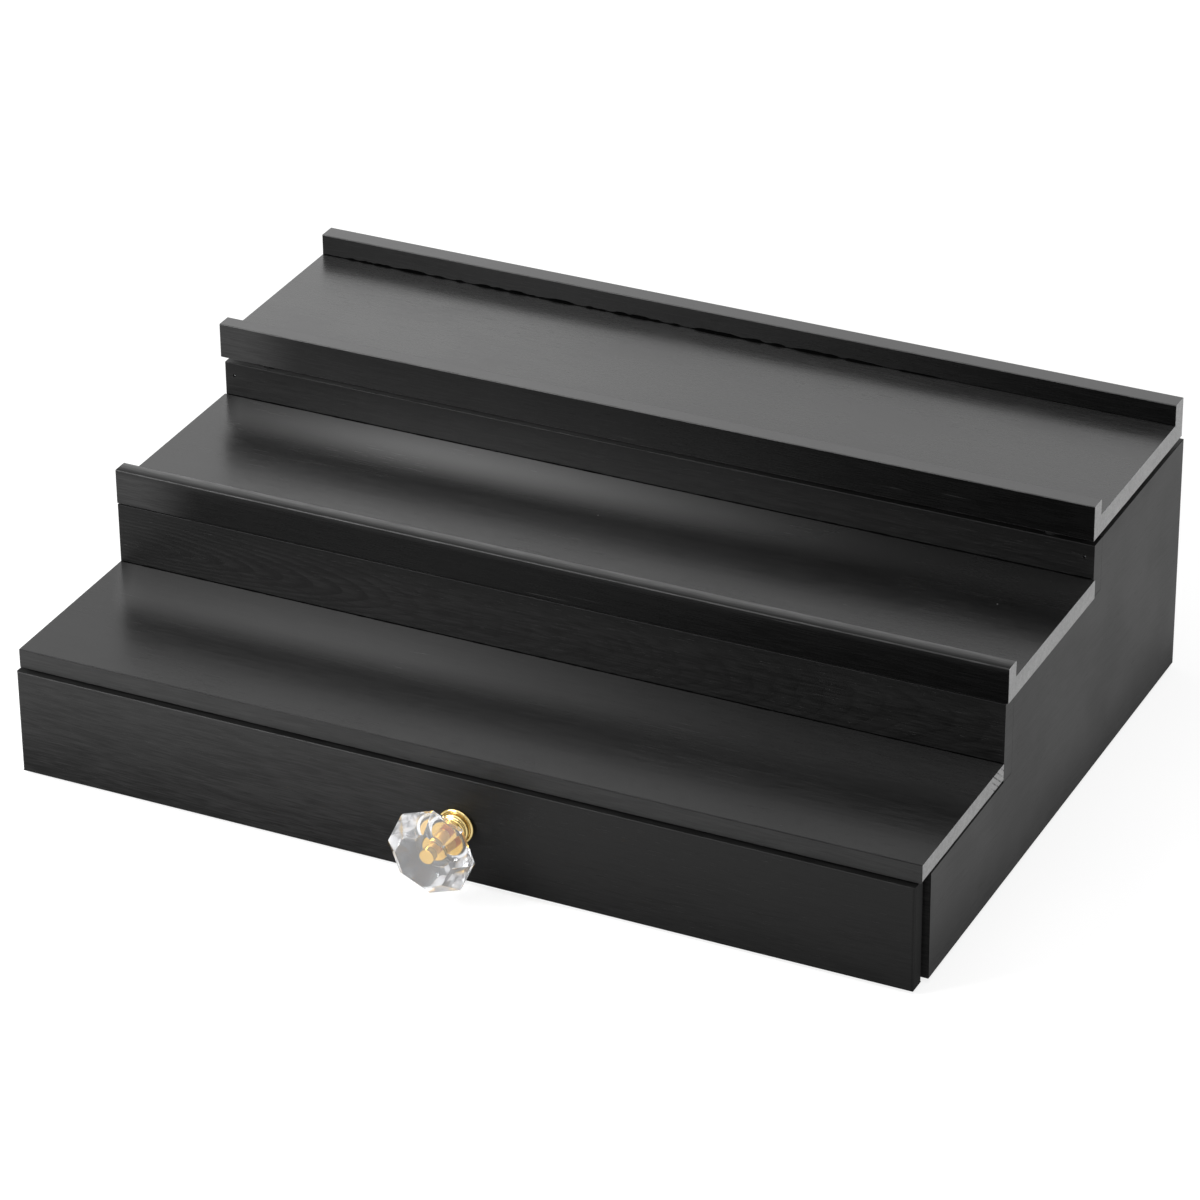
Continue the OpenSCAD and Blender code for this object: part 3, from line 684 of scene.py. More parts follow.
boards = {name: board(name, *looks, **extra) for name, body, looks, extra in BOARDS}
print("boards:", len(boards), "of", sum(len(b.data.polygons) for b in boards.values()), "faces")

# %% [markdown]
# ## Brad and bolt holes
# A brad near each end holds the upper riser in a small round hole. The drawer's sides are nailed the same
# way, and one bolt goes through both of its front boards. The holes could be dark dots, but a boolean cut
# goes right through, as a drill does.

# %% Holes
BRAD_HOLE_R = 0.65 * MM
BOLT_HOLE_R = 2.2 * MM
DRILL_FACES = 20


def drill(name, start, end, radius):
    """Bores the board of that name through from one point to another."""
    start = Vector(start)
    end = Vector(end)
    builder = bmesh.new()
    turn = (end - start).to_track_quat("Z", "Y").to_matrix().to_4x4()
    middle = Matrix.Translation((start + end) / 2)
    bmesh.ops.create_cone(builder, cap_ends=True, segments=DRILL_FACES, radius1=radius, radius2=radius,
                          depth=(end - start).length, matrix=middle @ turn)
    carve(boards[name], new_piece("drill", builder, [finishes["end_grain_dark"]]))


brads_low, brads_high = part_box("upper_riser_brads")
BRAD_R = (brads_high.z - brads_low.z) / 2
BRAD_Z = (brads_low.z + brads_high.z) / 2
riser_low, riser_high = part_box("upper_riser")
for x in (brads_low.x + BRAD_R, brads_high.x - BRAD_R):
    drill("upper_riser", (x, riser_low.y - MM, BRAD_Z), (x, riser_high.y + MM, BRAD_Z), BRAD_HOLE_R)

knob_low, knob_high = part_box("knob_base")
KNOB_X = (knob_low.x + knob_high.x) / 2
KNOB_Z = (knob_low.z + knob_high.z) / 2
for name in ("drawer_front", "drawer_box_front"):
    low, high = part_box(name)
    drill(name, (KNOB_X, low.y - MM, KNOB_Z), (KNOB_X, high.y + MM, KNOB_Z), BOLT_HOLE_R)

side_brads_low, side_brads_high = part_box("drawer_brads")
for name in ("drawer_side_left", "drawer_side_right"):
    low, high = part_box(name)
    for y in (side_brads_low.y + BRAD_R, side_brads_high.y - BRAD_R):
        for z in (side_brads_low.z + BRAD_R, side_brads_high.z - BRAD_R):
            drill(name, (low.x - MM, y, z), (high.x + MM, y, z), BRAD_HOLE_R)

for name, body, looks, extra in BOARDS:
    hand_over(boards[name], body, "black_wood", name)
print("brad holes of the riser at z", round(BRAD_Z / MM, 1), "mm, bolt holes at", round(KNOB_Z / MM, 1), "mm")

# %% [markdown]
# ## Stepped side panels
# Each side is one wide board sawn into three steps, so it is an outline of eight corners, pushed out to the
# board's thickness. The corners come from the boards that the steps carry. The thin panels sit in grooves,
# which are cut where those panels are.

# %% Side panels
STEP_SHARE = 0.1
OUTER_SHARE = 0.6
GROOVE_SLACK = 0.1 * MM


def side_outline():
    """The steps' corners as (y, z), from the front bottom corner round the back."""
    panel_low, panel_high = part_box("side_panel_left")
    step_one_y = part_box("lower_riser")[1].y
    step_two_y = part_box("upper_riser")[1].y
    step_one_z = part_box("lower_shelf")[0].z
    step_two_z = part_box("middle_shelf")[0].z
    return [(panel_low.y, panel_low.z), (panel_high.y, panel_low.z), (panel_high.y, panel_high.z),
            (step_two_y, panel_high.z), (step_two_y, step_two_z), (step_one_y, step_two_z),
            (step_one_y, step_one_z), (panel_low.y, step_one_z)]


def side_panel(name):
    """A side panel. Its steps' upright edges meet other boards, so they are eased less than the others."""
    low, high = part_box(name)
    builder = bmesh.new()
    sheet = builder.faces.new([builder.verts.new((low.x, y, z)) for y, z in side_outline()])
    pushed = bmesh.ops.extrude_face_region(builder, geom=[sheet])["geom"]
    for item in pushed:
        if isinstance(item, bmesh.types.BMVert):
            item.co.x = high.x
    weight = builder.edges.layers.float.new("bevel_weight_edge")
    for edge in builder.edges:
        a, b = edge.verts
        step_edge = abs(a.co.z - b.co.z) > MM and low.y + MM < a.co.y < high.y - MM
        edge[weight] = STEP_SHARE if step_edge else OUTER_SHARE
    bmesh.ops.recalc_face_normals(builder, faces=builder.faces)
    for face in builder.faces:
        face.material_index = int(abs(face.normal.x) < 0.5)
    slots = [finishes[key] for key in ("side_panel", "end_grain_dark", "end_grain_black")]
    return ease(new_piece(name + "_board", builder, slots), ARRIS)


def groove(node):
    """A tool for the groove that holds a thin panel, a little larger than that panel."""
    low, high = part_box(node)
    slack = Vector((GROOVE_SLACK, GROOVE_SLACK, GROOVE_SLACK))
    return new_piece("groove", block(low - slack, high + slack), [finishes["end_grain_dark"]])


for name in ("side_panel_left", "side_panel_right"):
    panel = side_panel(name)
    for thin_panel in ("base_panel", "compartment_floor"):
        carve(panel, groove(thin_panel))
    hand_over(panel, "carcass", "black_wood", name)
    print(name, len(panel.data.polygons), "faces")

# %% [markdown]
# ## Parts that stay as they are
# Thin panels, the partition, hinge leaves, pins, the washer and the lid's pads already have their true
# shape as solids. They could be drawn again, but nothing that fits in a groove or a knuckle may drift, so
# they keep their mesh and only get a finish.

# %% Finishes on the CAD nodes
CARRIED = [
    (finishes["drawer_wood"], ["compartment_partition"]),
    (finishes["thin_panel"], ["base_panel", "compartment_floor", "drawer_bottom"]),
    (gold, ["hinge_leaf_carcass_left", "hinge_leaf_carcass_right", "hinge_leaf_lid_left",
            "hinge_leaf_lid_right", "hinge_pin_left", "hinge_pin_right"]),
    (zinc, ["knob_washer"]),
    (pad_rubber, ["lid_pad_left", "lid_pad_right"]),
]
for material, names in CARRIED:
    for name in names:
        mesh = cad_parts[name].data
        mesh.materials.clear()
        mesh.materials.append(material)
print("nodes kept as solids:", sum(len(names) for material, names in CARRIED))

# %% [markdown]
# ## Round parts
# The knob's base and insert, the screws and the feet are all round, so one lathe makes them: it spins a
# half outline of (radius, height) pairs. A Screw modifier could do the same, but here a point at radius 0
# becomes a single pole, which keeps the shape closed.

# %% Lathe
def lathe(name, outline, materials, steps=64, place=Matrix.Identity(4), smooth=True):
    """Spins an outline of (radius, height) pairs in mm round +Z. The outline is open and ends at poles, or is
    a closed loop where its first point isn't on the axis."""
    builder = bmesh.new()
    rings = []
    for radius, height in outline:
        if radius == 0:
            rings.append([builder.verts.new((0, 0, height * MM))])
            continue
        angles = [2 * math.pi * k / steps for k in range(steps)]
        rings.append([builder.verts.new((radius * MM * math.cos(a), radius * MM * math.sin(a), height * MM))
                      for a in angles])
    pairs = list(zip(rings, rings[1:]))
    if outline[0][0] > 0:
        pairs.append((rings[-1], rings[0]))
    for one, two in pairs:
        for k in range(steps):
            after = (k + 1) % steps
            corners = [one[k % len(one)], one[after % len(one)], two[after % len(two)], two[k % len(two)]]
            builder.faces.new(list(dict.fromkeys(corners)))
    builder.transform(place)
    piece = new_piece(name, builder, materials)
    if smooth:
        piece.data.shade_smooth()
    return piece


def arc(centre_r, centre_h, radius, start, end, count):
    """Points of an arc in the outline, angles in degrees, anticlockwise from +radius."""
    angles = [math.radians(start + (end - start) * k / count) for k in range(count + 1)]
    return [(centre_r + radius * math.cos(a), centre_h + radius * math.sin(a)) for a in angles]


def rim(radius, start, thickness):
    """A half-round rim of that thickness, from its underside to its top."""
    half = thickness / 2
    return arc(radius - half, start + half, half, -60, 90, 10)


print("a rim of 2 mm has", len(rim(8.0, 0.0, 2.0)), "points")

# %% [markdown]
# ## The knob's brass base
# A flange with a half-round rim sits on the drawer. A fine groove parts it from a bead, and a slim neck
# leads to a small cup, where the crystal sits. It is one outline, as it is one piece of metal. Heights are
# read from the drawer's face outwards.

# %% Knob base
FACE_Y = knob_high.y
AT_KNOB = Matrix.Translation((KNOB_X, FACE_Y, KNOB_Z)) @ Matrix.Rotation(math.radians(90), 4, "X")
# Radii, lengths and thicknesses in mm.
BASE_LEN = 9.0
BORE_R = 2.2
FLANGE_R, FLANGE_T, FLANGE_EASE = 8.0, 2.0, 0.6
BEAD_R, BEAD_T = 6.7, 2.0
GROOVE_H, GROOVE_DEPTH = 1.1, 0.6
NECK_R, COVE_R = 4.8, 0.9
CUP_R, CUP_T, CUP_ROUND, CUP_EASE = 6.4, 1.2, 0.3, 0.2
NECK_END = BASE_LEN - CUP_T - COVE_R
base_outline = [(BORE_R, 0.0), (FLANGE_R - FLANGE_EASE, 0.0)]
base_outline += rim(FLANGE_R, 0.0, FLANGE_T)
base_outline += [(BEAD_R + 0.2, FLANGE_T - 0.1), (BEAD_R, GROOVE_H), (BEAD_R - GROOVE_DEPTH, GROOVE_H)]
base_outline += rim(BEAD_R, FLANGE_T, BEAD_T)
base_outline += arc(NECK_R + COVE_R, FLANGE_T + BEAD_T + COVE_R, COVE_R, 270, 180, 6)
base_outline += [(NECK_R, NECK_END)]
base_outline += arc(NECK_R + COVE_R, NECK_END, COVE_R, 180, 110, 5)
base_outline += arc(CUP_R - CUP_ROUND, BASE_LEN - CUP_T + CUP_ROUND, CUP_ROUND, -90, 0, 4)
base_outline += [(CUP_R, BASE_LEN - CUP_EASE), (CUP_R - CUP_EASE, BASE_LEN), (BORE_R, BASE_LEN)]
knob_base = lathe("knob_base_turned", base_outline, [gold], 96, AT_KNOB)
hand_over(knob_base, "drawer", "gold", "knob_base")
print("knob base:", len(base_outline), "points,", len(knob_base.data.polygons), "faces")

# %% [markdown]
# ## The cut crystal
# Eight facets widen from a small round foot to the girdle, and eight more close in to the flat table in
# front, so a lathe with eight steps makes them. A round shape grinds the foot's corners off. The glass is
# bored for the insert, a touch tight because glue leaves no air, so light bends twice on its way through.

# %% Crystal
CRYSTAL_TURN = math.radians(-2.8)
FOOT_D, GIRDLE_D, TABLE_D = 18.0, 37.7, 24.4
BACK_H, GIRDLE_H, FRONT_H = 12.5, 1.5, 6.8
CRYSTAL_LEN = BACK_H + GIRDLE_H + FRONT_H
AT_CRYSTAL = AT_KNOB @ Matrix.Translation((0, 0, BASE_LEN * MM))
stone_outline = [(0, 0.0), (FOOT_D / 2, 0.0), (GIRDLE_D / 2, BACK_H), (GIRDLE_D / 2, BACK_H + GIRDLE_H),
                 (TABLE_D / 2, CRYSTAL_LEN), (0, CRYSTAL_LEN)]
stone = lathe("knob_crystal_cut", stone_outline, [crystal], 8,
              AT_CRYSTAL @ Matrix.Rotation(CRYSTAL_TURN, 4, "Z"), smooth=False)
facets = bmesh.new()
facets.from_mesh(stone.data)
bmesh.ops.dissolve_limit(facets, angle_limit=math.radians(1), verts=facets.verts, edges=facets.edges)
facets.to_mesh(stone.data)
facets.free()

# The grinder is eased at its start, then straight, and opens into a cone at 45 degrees.
GRIND_R, GRIND_EASE = 8.5, 1.1
GRIND_START, GRIND_FULL, GRIND_CONE, GRIND_END = -0.2, 0.7, 1.3, 29.0
grinder_outline = [(0, GRIND_START), (GRIND_R - GRIND_EASE, GRIND_START), (GRIND_R, GRIND_FULL),
                   (GRIND_R, GRIND_CONE), (GRIND_R + GRIND_END - GRIND_CONE, GRIND_END), (0, GRIND_END)]
carve(stone, lathe("grinder", grinder_outline, [crystal], 64, AT_CRYSTAL), "INTERSECT")

BOND = 0.12
INSERT_R, INSERT_LEN = 3.2, 15.0
INSERT_FLANGE_R, INSERT_FLANGE_T = 5.6, 1.6
SLEEVE_H, STEM_R = 9.0, 2.4
hole_outline = [(0, -1.0), (INSERT_FLANGE_R - BOND, -1.0), (INSERT_FLANGE_R - BOND, INSERT_FLANGE_T - BOND),
                (STEM_R - BOND, INSERT_FLANGE_T - BOND), (STEM_R - BOND, SLEEVE_H + BOND),
                (INSERT_R - BOND, SLEEVE_H + BOND), (INSERT_R - BOND, INSERT_LEN - BOND),
                (0, INSERT_LEN - BOND)]
carve(stone, lathe("hole", hole_outline, [crystal], 48, AT_CRYSTAL))
stone.data.shade_flat()
hand_over(stone, "drawer", "crystal", "knob_crystal")
print("crystal faces:", len(stone.data.polygons))

# %% [markdown]
# ## The threaded insert
# A brass insert is glued into the glass, and its flat end shows through the table. It has a flange at the
# back, a stem with a fine thread, and a thicker sleeve whose four grooves hold the glue. The thread's
# ridges are plain rings: at this size nobody can see that they don't climb.

# %% Insert
THREAD_PITCH, THREAD_DEPTH = 0.8, 0.3
INSERT_BORE, INSERT_CAP = 1.6, 3.0
INSERT_EASE, CAP_EASE = 0.2, 0.25
GLUE_GROOVES, GLUE_GROOVE_PITCH, GLUE_GROOVE_DEPTH, GLUE_GROOVE_W = 4, 1.1, 0.25, 0.4
FIRST_GLUE_GROOVE = SLEEVE_H + 0.9
insert_outline = [(0, INSERT_LEN - INSERT_CAP), (INSERT_BORE, INSERT_LEN - INSERT_CAP), (INSERT_BORE, 0.0),
                  (INSERT_FLANGE_R - INSERT_EASE, 0.0), (INSERT_FLANGE_R, INSERT_EASE),
                  (INSERT_FLANGE_R, INSERT_FLANGE_T - INSERT_EASE),
                  (INSERT_FLANGE_R - INSERT_EASE, INSERT_FLANGE_T), (STEM_R, INSERT_FLANGE_T)]
thread_h = INSERT_FLANGE_T + INSERT_EASE
while thread_h + THREAD_PITCH < SLEEVE_H:
    insert_outline += [(STEM_R, thread_h), (STEM_R + THREAD_DEPTH, thread_h + THREAD_PITCH / 2)]
    thread_h += THREAD_PITCH
insert_outline += [(STEM_R, SLEEVE_H), (INSERT_R - INSERT_EASE, SLEEVE_H), (INSERT_R, SLEEVE_H + INSERT_EASE)]
for k in range(GLUE_GROOVES):
    h = FIRST_GLUE_GROOVE + k * GLUE_GROOVE_PITCH
    insert_outline += [(INSERT_R, h), (INSERT_R - GLUE_GROOVE_DEPTH, h + GLUE_GROOVE_W / 2),
                       (INSERT_R, h + GLUE_GROOVE_W)]
insert_outline += [(INSERT_R, INSERT_LEN - CAP_EASE), (INSERT_R - CAP_EASE, INSERT_LEN), (0, INSERT_LEN)]
insert = lathe("knob_insert_threaded", insert_outline, [insert_brass, thread_brass], 48, AT_CRYSTAL,
               smooth=False)
for face in insert.data.polygons:
    depth = (FACE_Y - face.center.y) / MM - BASE_LEN
    face.material_index = int(INSERT_FLANGE_T + 0.1 < depth < SLEEVE_H)
hand_over(insert, "drawer", "gold", "knob_insert")
print("insert outline:", len(insert_outline), "points")

# %% [markdown]
# ## Screws and brads
# All screws are one round shape, with a head, a shank, a tip and a cross cut into the head. Each lies with
# its head towards +Z, and its ridges are rings, as on the insert. Brads are thin nails with an eased top
# and no wider head.

# %% One screw and one brad
# A pan head's outline as shares of its radius and height.
PAN_HEAD = [(0.55, 1.0), (0.88, 0.8), (1.0, 0.35), (1.0, 0.0)]
FLAT_RIM = 0.15
RIDGE_STEP, RIDGE_START = 1.0, 0.3
ROOT_SHARE, CREST_SHARE, TIP_SHARE = 0.8, 0.45, 0.7
# The driver's cross as shares of the head's radius and height, and its greatest depth in mm.
CROSS_W, CROSS_LEN, CROSS_DEPTH, CROSS_LIMIT = 0.28, 1.15, 0.5, 0.9


def cross_bar(width, length, depth, head_h, turn):
    """One bar of the driver's cross, in mm, sunk into a head that ends at head_h."""
    builder = bmesh.new()
    bmesh.ops.create_cube(builder, size=1.0)
    size = Matrix.Diagonal((length * MM, width * MM, 2 * depth * MM, 1.0))
    turned = Matrix.Rotation(math.radians(turn), 4, "Z")
    builder.transform(Matrix.Translation((0, 0, head_h * MM)) @ turned @ size)
    return new_piece("recess", builder, [zinc])


def screw_shape(name, shank_r, shank_len, head_r, head_h, flat):
    """A screw in mm. Its seat is at height 0 and its shank points down; a flat head sinks into its seat."""
    if flat:
        head = [(head_r, 0.0), (head_r, -FLAT_RIM), (shank_r, -head_h)]
        top = 0.0
        shank_top = -head_h
    else:
        head = [(head_r * r, head_h * h) for r, h in PAN_HEAD] + [(shank_r, 0.0)]
        top = head_h
        shank_top = 0.0
    ridges = []
    count = max(3, int((shank_len - head_h) / RIDGE_STEP))
    step = (shank_len - shank_r * 2 + shank_top) / count
    for k in range(count):
        h = shank_top - RIDGE_START - k * step
        ridges += [(shank_r * ROOT_SHARE, h), (shank_r, h - step * CREST_SHARE)]
    tip = [(shank_r * TIP_SHARE, -shank_len + shank_r), (0, -shank_len)]
    shape = lathe(name, [(0, top)] + head + ridges + tip, [zinc], 32, smooth=False)
    depth = min(head_h * CROSS_DEPTH, CROSS_LIMIT)
    bars = [cross_bar(head_r * CROSS_W, head_r * CROSS_LEN, depth, top, turn) for turn in (0, 90)]
    for bar in bars:
        carve(shape, bar)
    return shape


def brad_shape(radius, length):
    """A brad in mm, with its top at height 0."""
    outline = [(0, 0.0), (radius * 0.8, -0.1), (radius, -0.35), (radius, -length + radius * 2), (0, -length)]
    return lathe("brad", outline, [zinc], 16)


print("a pan head has", len(PAN_HEAD), "points, and its cross is at most", CROSS_LIMIT, "mm deep")

# %% [markdown]
# ## Trees that make geometry
# Geometry Nodes can copy a part or draw a bead along a line, and a tree is used again with new values, as a
# jig is in a workshop. Each ends the same way: copies become real mesh and get their finish. The result is
# baked to a plain mesh, because instances can't be exported.

# %% Helpers for geometry trees
def end_tree(tree, geometry, finish):
    """Makes copies real mesh, gives it the finish and hands it out."""
    real = add(tree, "GeometryNodeRealizeInstances", {"Geometry": geometry})
    dressed = add(tree, "GeometryNodeSetMaterial", {"Geometry": real.outputs[0], "Material": finish})
    add(tree, "NodeGroupOutput", {0: dressed.outputs[0]})


def grow(name, tree, values):
    """A plain mesh that the tree makes from values for its inputs."""
    piece = bpy.data.objects.new(name, bpy.data.meshes.new(name))
    scene.collection.objects.link(piece)
    modifier = piece.modifiers.new("grow", "NODES")
    modifier.node_group = tree
    ids = {s.name: s.identifier for s in tree.interface.items_tree if s.in_out == "INPUT"}
    for label, value in values.items():
        modifier[ids[label]] = value
    keep_mesh(piece)
    print(name, len(piece.data.polygons), "faces")
    return piece


print("node groups so far:", [group.name for group in bpy.data.node_groups])

# %% [markdown]
# ## Copies on a grid
# Screws, brads and feet stand at the corners of a grid, so one tree places them all. It takes the part, the
# grid's middle, the half distance between copies on each axis, a second one for pairs, the part's tip, and
# whether copies on the left face the other way. Where a half distance is 0, points that fall together
# merge.

# %% The tree of copies
MERGE_REACH = 0.1 * MM


def make_copies_tree():
    tree, given = new_tree("Geometry", "copies on a grid", {
        "Part": "Object", "Middle": "Vector", "Reach": "Vector", "Pair reach": "Vector", "Tip": "Rotation",
        "Mirror turn": "Float", "Finish": "Material"}, {"Geometry": "Geometry"})
    reach = parts(tree, given["Reach"])
    arms = [add(tree, "ShaderNodeCombineXYZ", {axis: reach[axis]}).outputs[0] for axis in "XYZ"]
    rows = []
    for far in arms + [given["Pair reach"]]:
        ends = {"Count": 2, "Start Location": vector(tree, "SCALE", far, -1.0), "Offset": far}
        rows.append(add(tree, "GeometryNodeMeshLine", ends, mode="END_POINTS").outputs[0])
    points = rows[0]
    for row in rows[1:]:
        spread = add(tree, "GeometryNodeInstanceOnPoints", {"Points": points, "Instance": row})
        points = add(tree, "GeometryNodeRealizeInstances", {"Geometry": spread.outputs[0]}).outputs[0]
    merged = add(tree, "GeometryNodeMergeByDistance", {"Geometry": points, "Distance": MERGE_REACH})
    place = add(tree, "GeometryNodeInputPosition").outputs[0]
    left = maths(tree, "LESS_THAN", parts(tree, place)["X"], 0.0)
    spin = add(tree, "ShaderNodeCombineXYZ", {"Z": times(tree, left, given["Mirror turn"])})
    faced = add(tree, "FunctionNodeRotateRotation", {"Rotation": given["Tip"], "Rotate By": spin.outputs[0]},
                rotation_space="GLOBAL")
    part = add(tree, "GeometryNodeObjectInfo", {"Object": given["Part"]})
    stood = add(tree, "GeometryNodeInstanceOnPoints", {
        "Points": merged.outputs[0], "Instance": part.outputs["Geometry"], "Rotation": faced.outputs[0]})
    moved = add(tree, "GeometryNodeSetPosition", {"Geometry": stood.outputs[0], "Offset": given["Middle"]})
    end_tree(tree, moved.outputs[0], given["Finish"])
    return tree


copies_tree = make_copies_tree()


def copies(name, part, middle, reach, finish, tip=(0, 0, 0), pair=(0, 0, 0), mirror=0.0):
    """A plain mesh of the part's copies. Lengths are in metres, tip in degrees and mirror in radians."""
    angles = Euler([math.radians(a) for a in tip])
    piece = grow(name, copies_tree, {"Part": part, "Middle": middle, "Reach": reach, "Pair reach": pair,
                                     "Tip": angles, "Mirror turn": mirror, "Finish": finish})
    bpy.data.objects.remove(part)
    return piece


print("copies tree:", len(copies_tree.nodes), "nodes")

# %% [markdown]
# ## Hinge screws
# Two flat-head screws hold every hinge leaf and sink into it. Each set replaces the node that holds the
# same screws, so its middle and reach are measured from that node's box, less half a head.

# %% Hinge screws
HINGE_HEAD_R, HINGE_HEAD_H, HINGE_SHANK_R = 1.7, 0.7, 1.0
HINGE_LEN = 38.0
HINGE_SCREW_REACH = HINGE_LEN / 3
for node, body, tip in (("hinge_screws_carcass", "carcass", 0), ("hinge_screws_lid", "lid", 180)):
    low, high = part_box(node)
    seat = high.z if tip == 0 else low.z
    shape = screw_shape("screw", HINGE_SHANK_R, (high.z - low.z) / MM, HINGE_HEAD_R, HINGE_HEAD_H, True)
    reach_x = (high.x - low.x) / 2 - (HINGE_HEAD_R + HINGE_SCREW_REACH) * MM
    screws = copies(node + "_cross", shape, Vector((0, (low.y + high.y) / 2, seat)), (reach_x, 0, 0), zinc,
                    tip=(tip, 0, 0), pair=(HINGE_SCREW_REACH * MM, 0, 0))
    hand_over(screws, body, "steel", node)

# %% [markdown]
# ## Drawer front screws
# Two pan-head screws pull the drawer front against the drawer's box from inside. Their heads stay proud of
# the wood, so they are measured from the back of the node's box.

# %% Drawer front screws
FRONT_HEAD_R, FRONT_HEAD_H, FRONT_SHANK_R = 3.0, 1.6, 1.5
low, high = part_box("drawer_front_screws")
shape = screw_shape("screw", FRONT_SHANK_R, (high.y - low.y) / MM - FRONT_HEAD_H, FRONT_HEAD_R, FRONT_HEAD_H,
                    False)
front_screws = copies("drawer_front_screws_cross", shape,
                      Vector((0, high.y - FRONT_HEAD_H * MM, (low.z + high.z) / 2)),
                      ((high.x - low.x) / 2 - FRONT_HEAD_R * MM, 0, 0), zinc, tip=(-90, 0, 0))
hand_over(front_screws, "drawer", "steel", "drawer_front_screws")

# %% [markdown]
# ## Brads
# Brads hold the upper riser from the front and the drawer's sides from outside. Those on the drawer's left
# point the other way, which the tree's mirror turn takes care of.

# %% Brads
SIDE_BRAD_LEN = 16.0
low, high = brads_low, brads_high
shape = brad_shape(BRAD_R / MM, (high.y - low.y) / MM)
riser_brads = copies("upper_riser_brads_nails", shape, Vector((0, low.y, BRAD_Z)),
                     ((high.x - low.x) / 2 - BRAD_R, 0, 0), zinc, tip=(90, 0, 0))
hand_over(riser_brads, "carcass", "steel", "upper_riser_brads")

low, high = side_brads_low, side_brads_high
middle = (low + high) / 2
shape = brad_shape(BRAD_R / MM, SIDE_BRAD_LEN)
reach = (high - low) / 2 - Vector((0, BRAD_R, BRAD_R))
side_brads = copies("drawer_brads_nails", shape, Vector((0, middle.y, middle.z)), reach, zinc,
                    tip=(0, 90, 0), mirror=math.pi)
hand_over(side_brads, "drawer", "steel", "drawer_brads")

# %% [markdown]
# ## The knob's bolt
# One bolt goes from inside the drawer through both boards into the knob's insert. There is only one, so it
# needs no tree.

# %% Knob bolt
BOLT_HEAD_R, BOLT_HEAD_H, BOLT_R = 3.7, 2.4, 2.0
low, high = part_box("knob_screw")
bolt = screw_shape("bolt", BOLT_R, (high.y - low.y) / MM - BOLT_HEAD_H, BOLT_HEAD_R, BOLT_HEAD_H, False)
bolt_turn = Matrix.Rotation(math.radians(-90), 4, "X")
bolt.data.transform(Matrix.Translation((KNOB_X, high.y - BOLT_HEAD_H * MM, KNOB_Z)) @ bolt_turn)
bolt.name = "knob_screw_cross"
hand_over(bolt, "drawer", "steel", "knob_screw")
print("bolt length in mm:", round((high.y - low.y) / MM, 1))

# %% [markdown]
# ## Rubber feet
# Four push-in rubber feet lift the stand off the table. Each is a round button with a rounded lower rim and
# a small dimple, and the tree of copies sets all four.

# %% Feet
foot_low, foot_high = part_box("foot_front_left")
far_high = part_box("foot_back_right")[1]
FOOT_R = (foot_high.x - foot_low.x) / 2 / MM
FOOT_H = (foot_high.z - foot_low.z) / MM
FOOT_EASE, FOOT_WALL_END, FOOT_ROUND = 0.3, 1.2, 1.0
DIMPLE = [(2.2, 0.0), (1.8, 0.35), (0, 0.5)]
foot_outline = [(0, FOOT_H), (FOOT_R - FOOT_EASE, FOOT_H), (FOOT_R, FOOT_H - FOOT_EASE),
                (FOOT_R, FOOT_WALL_END)]
foot_outline += arc(FOOT_R - FOOT_ROUND, FOOT_ROUND, FOOT_ROUND, 0, -90, 6) + DIMPLE
foot_shape = lathe("foot", foot_outline, [rubber], 40)
feet_middle = (foot_low + far_high) / 2
feet_reach = (far_high - foot_low) / 2
feet = copies("rubber_feet", foot_shape, Vector((feet_middle.x, feet_middle.y, foot_low.z)),
              (feet_reach.x - FOOT_R * MM, feet_reach.y - FOOT_R * MM, 0), rubber)
hand_over(feet, "carcass", "rubber", "foot_front_left", "foot_front_right", "foot_back_left",
          "foot_back_right")

# %% [markdown]
# ## The glue line and the shade lines
# Where the tray board meets the back lip, a little black glue was squeezed out as an uneven line. Finer black
# beads along the feet of both risers are painted shade: dark lines where shade gathers in the corners. A
# plain rod would look like a moulding, so a curve is drawn along each seam and its radius is noise.

# %% Glue and shade beads
BEAD_STEPS, BEAD_SIDES = 260, 8
BEAD_WAVES = (90, 1, 1)
FADE_HALF, FADED_SHARE = 0.05, 0.2


def make_bead_tree():
    tree, given = new_tree("Geometry", "glue and shade bead", {
        "Start": "Vector", "End": "Vector", "Thickness": "Float", "Thinnest": "Float", "Fade": "Float",
        "Seed": "Float", "Finish": "Material"}, {"Geometry": "Geometry"})
    seam = add(tree, "GeometryNodeCurvePrimitiveLine", {"Start": given["Start"], "End": given["End"]})
    steps = add(tree, "GeometryNodeResampleCurve", {"Curve": seam.outputs[0], "Count": BEAD_STEPS})
    place = add(tree, "GeometryNodeInputPosition").outputs[0]
    wave = noise(tree, place, BEAD_WAVES, 2.0, 0.6, given["Seed"])
    beyond = maths(tree, "SUBTRACT", parts(tree, place)["X"], given["Fade"])
    left = stretch(tree, beyond, -FADE_HALF, FADE_HALF, 1.0, FADED_SHARE)
    uneven = times(tree, stretch(tree, wave, 0.44, 0.58, given["Thinnest"], 1.0), left)
    width = times(tree, uneven, given["Thickness"])
    rod = add(tree, "GeometryNodeCurvePrimitiveCircle", {"Resolution": BEAD_SIDES, "Radius": 1.0})
    solid = add(tree, "GeometryNodeCurveToMesh", {"Curve": steps.outputs[0], "Scale": width,
                                                  "Profile Curve": rod.outputs[0], "Fill Caps": True})
    end_tree(tree, solid.outputs[0], given["Finish"])
    return tree


bead_tree = make_bead_tree()
# Black for the glue at the lid, and for the beads of painted shade along the risers.
stained_wood("black_glue_and_shade", 0.001, 0.002, 0.9, 0.0, 0.02, board=16.0)


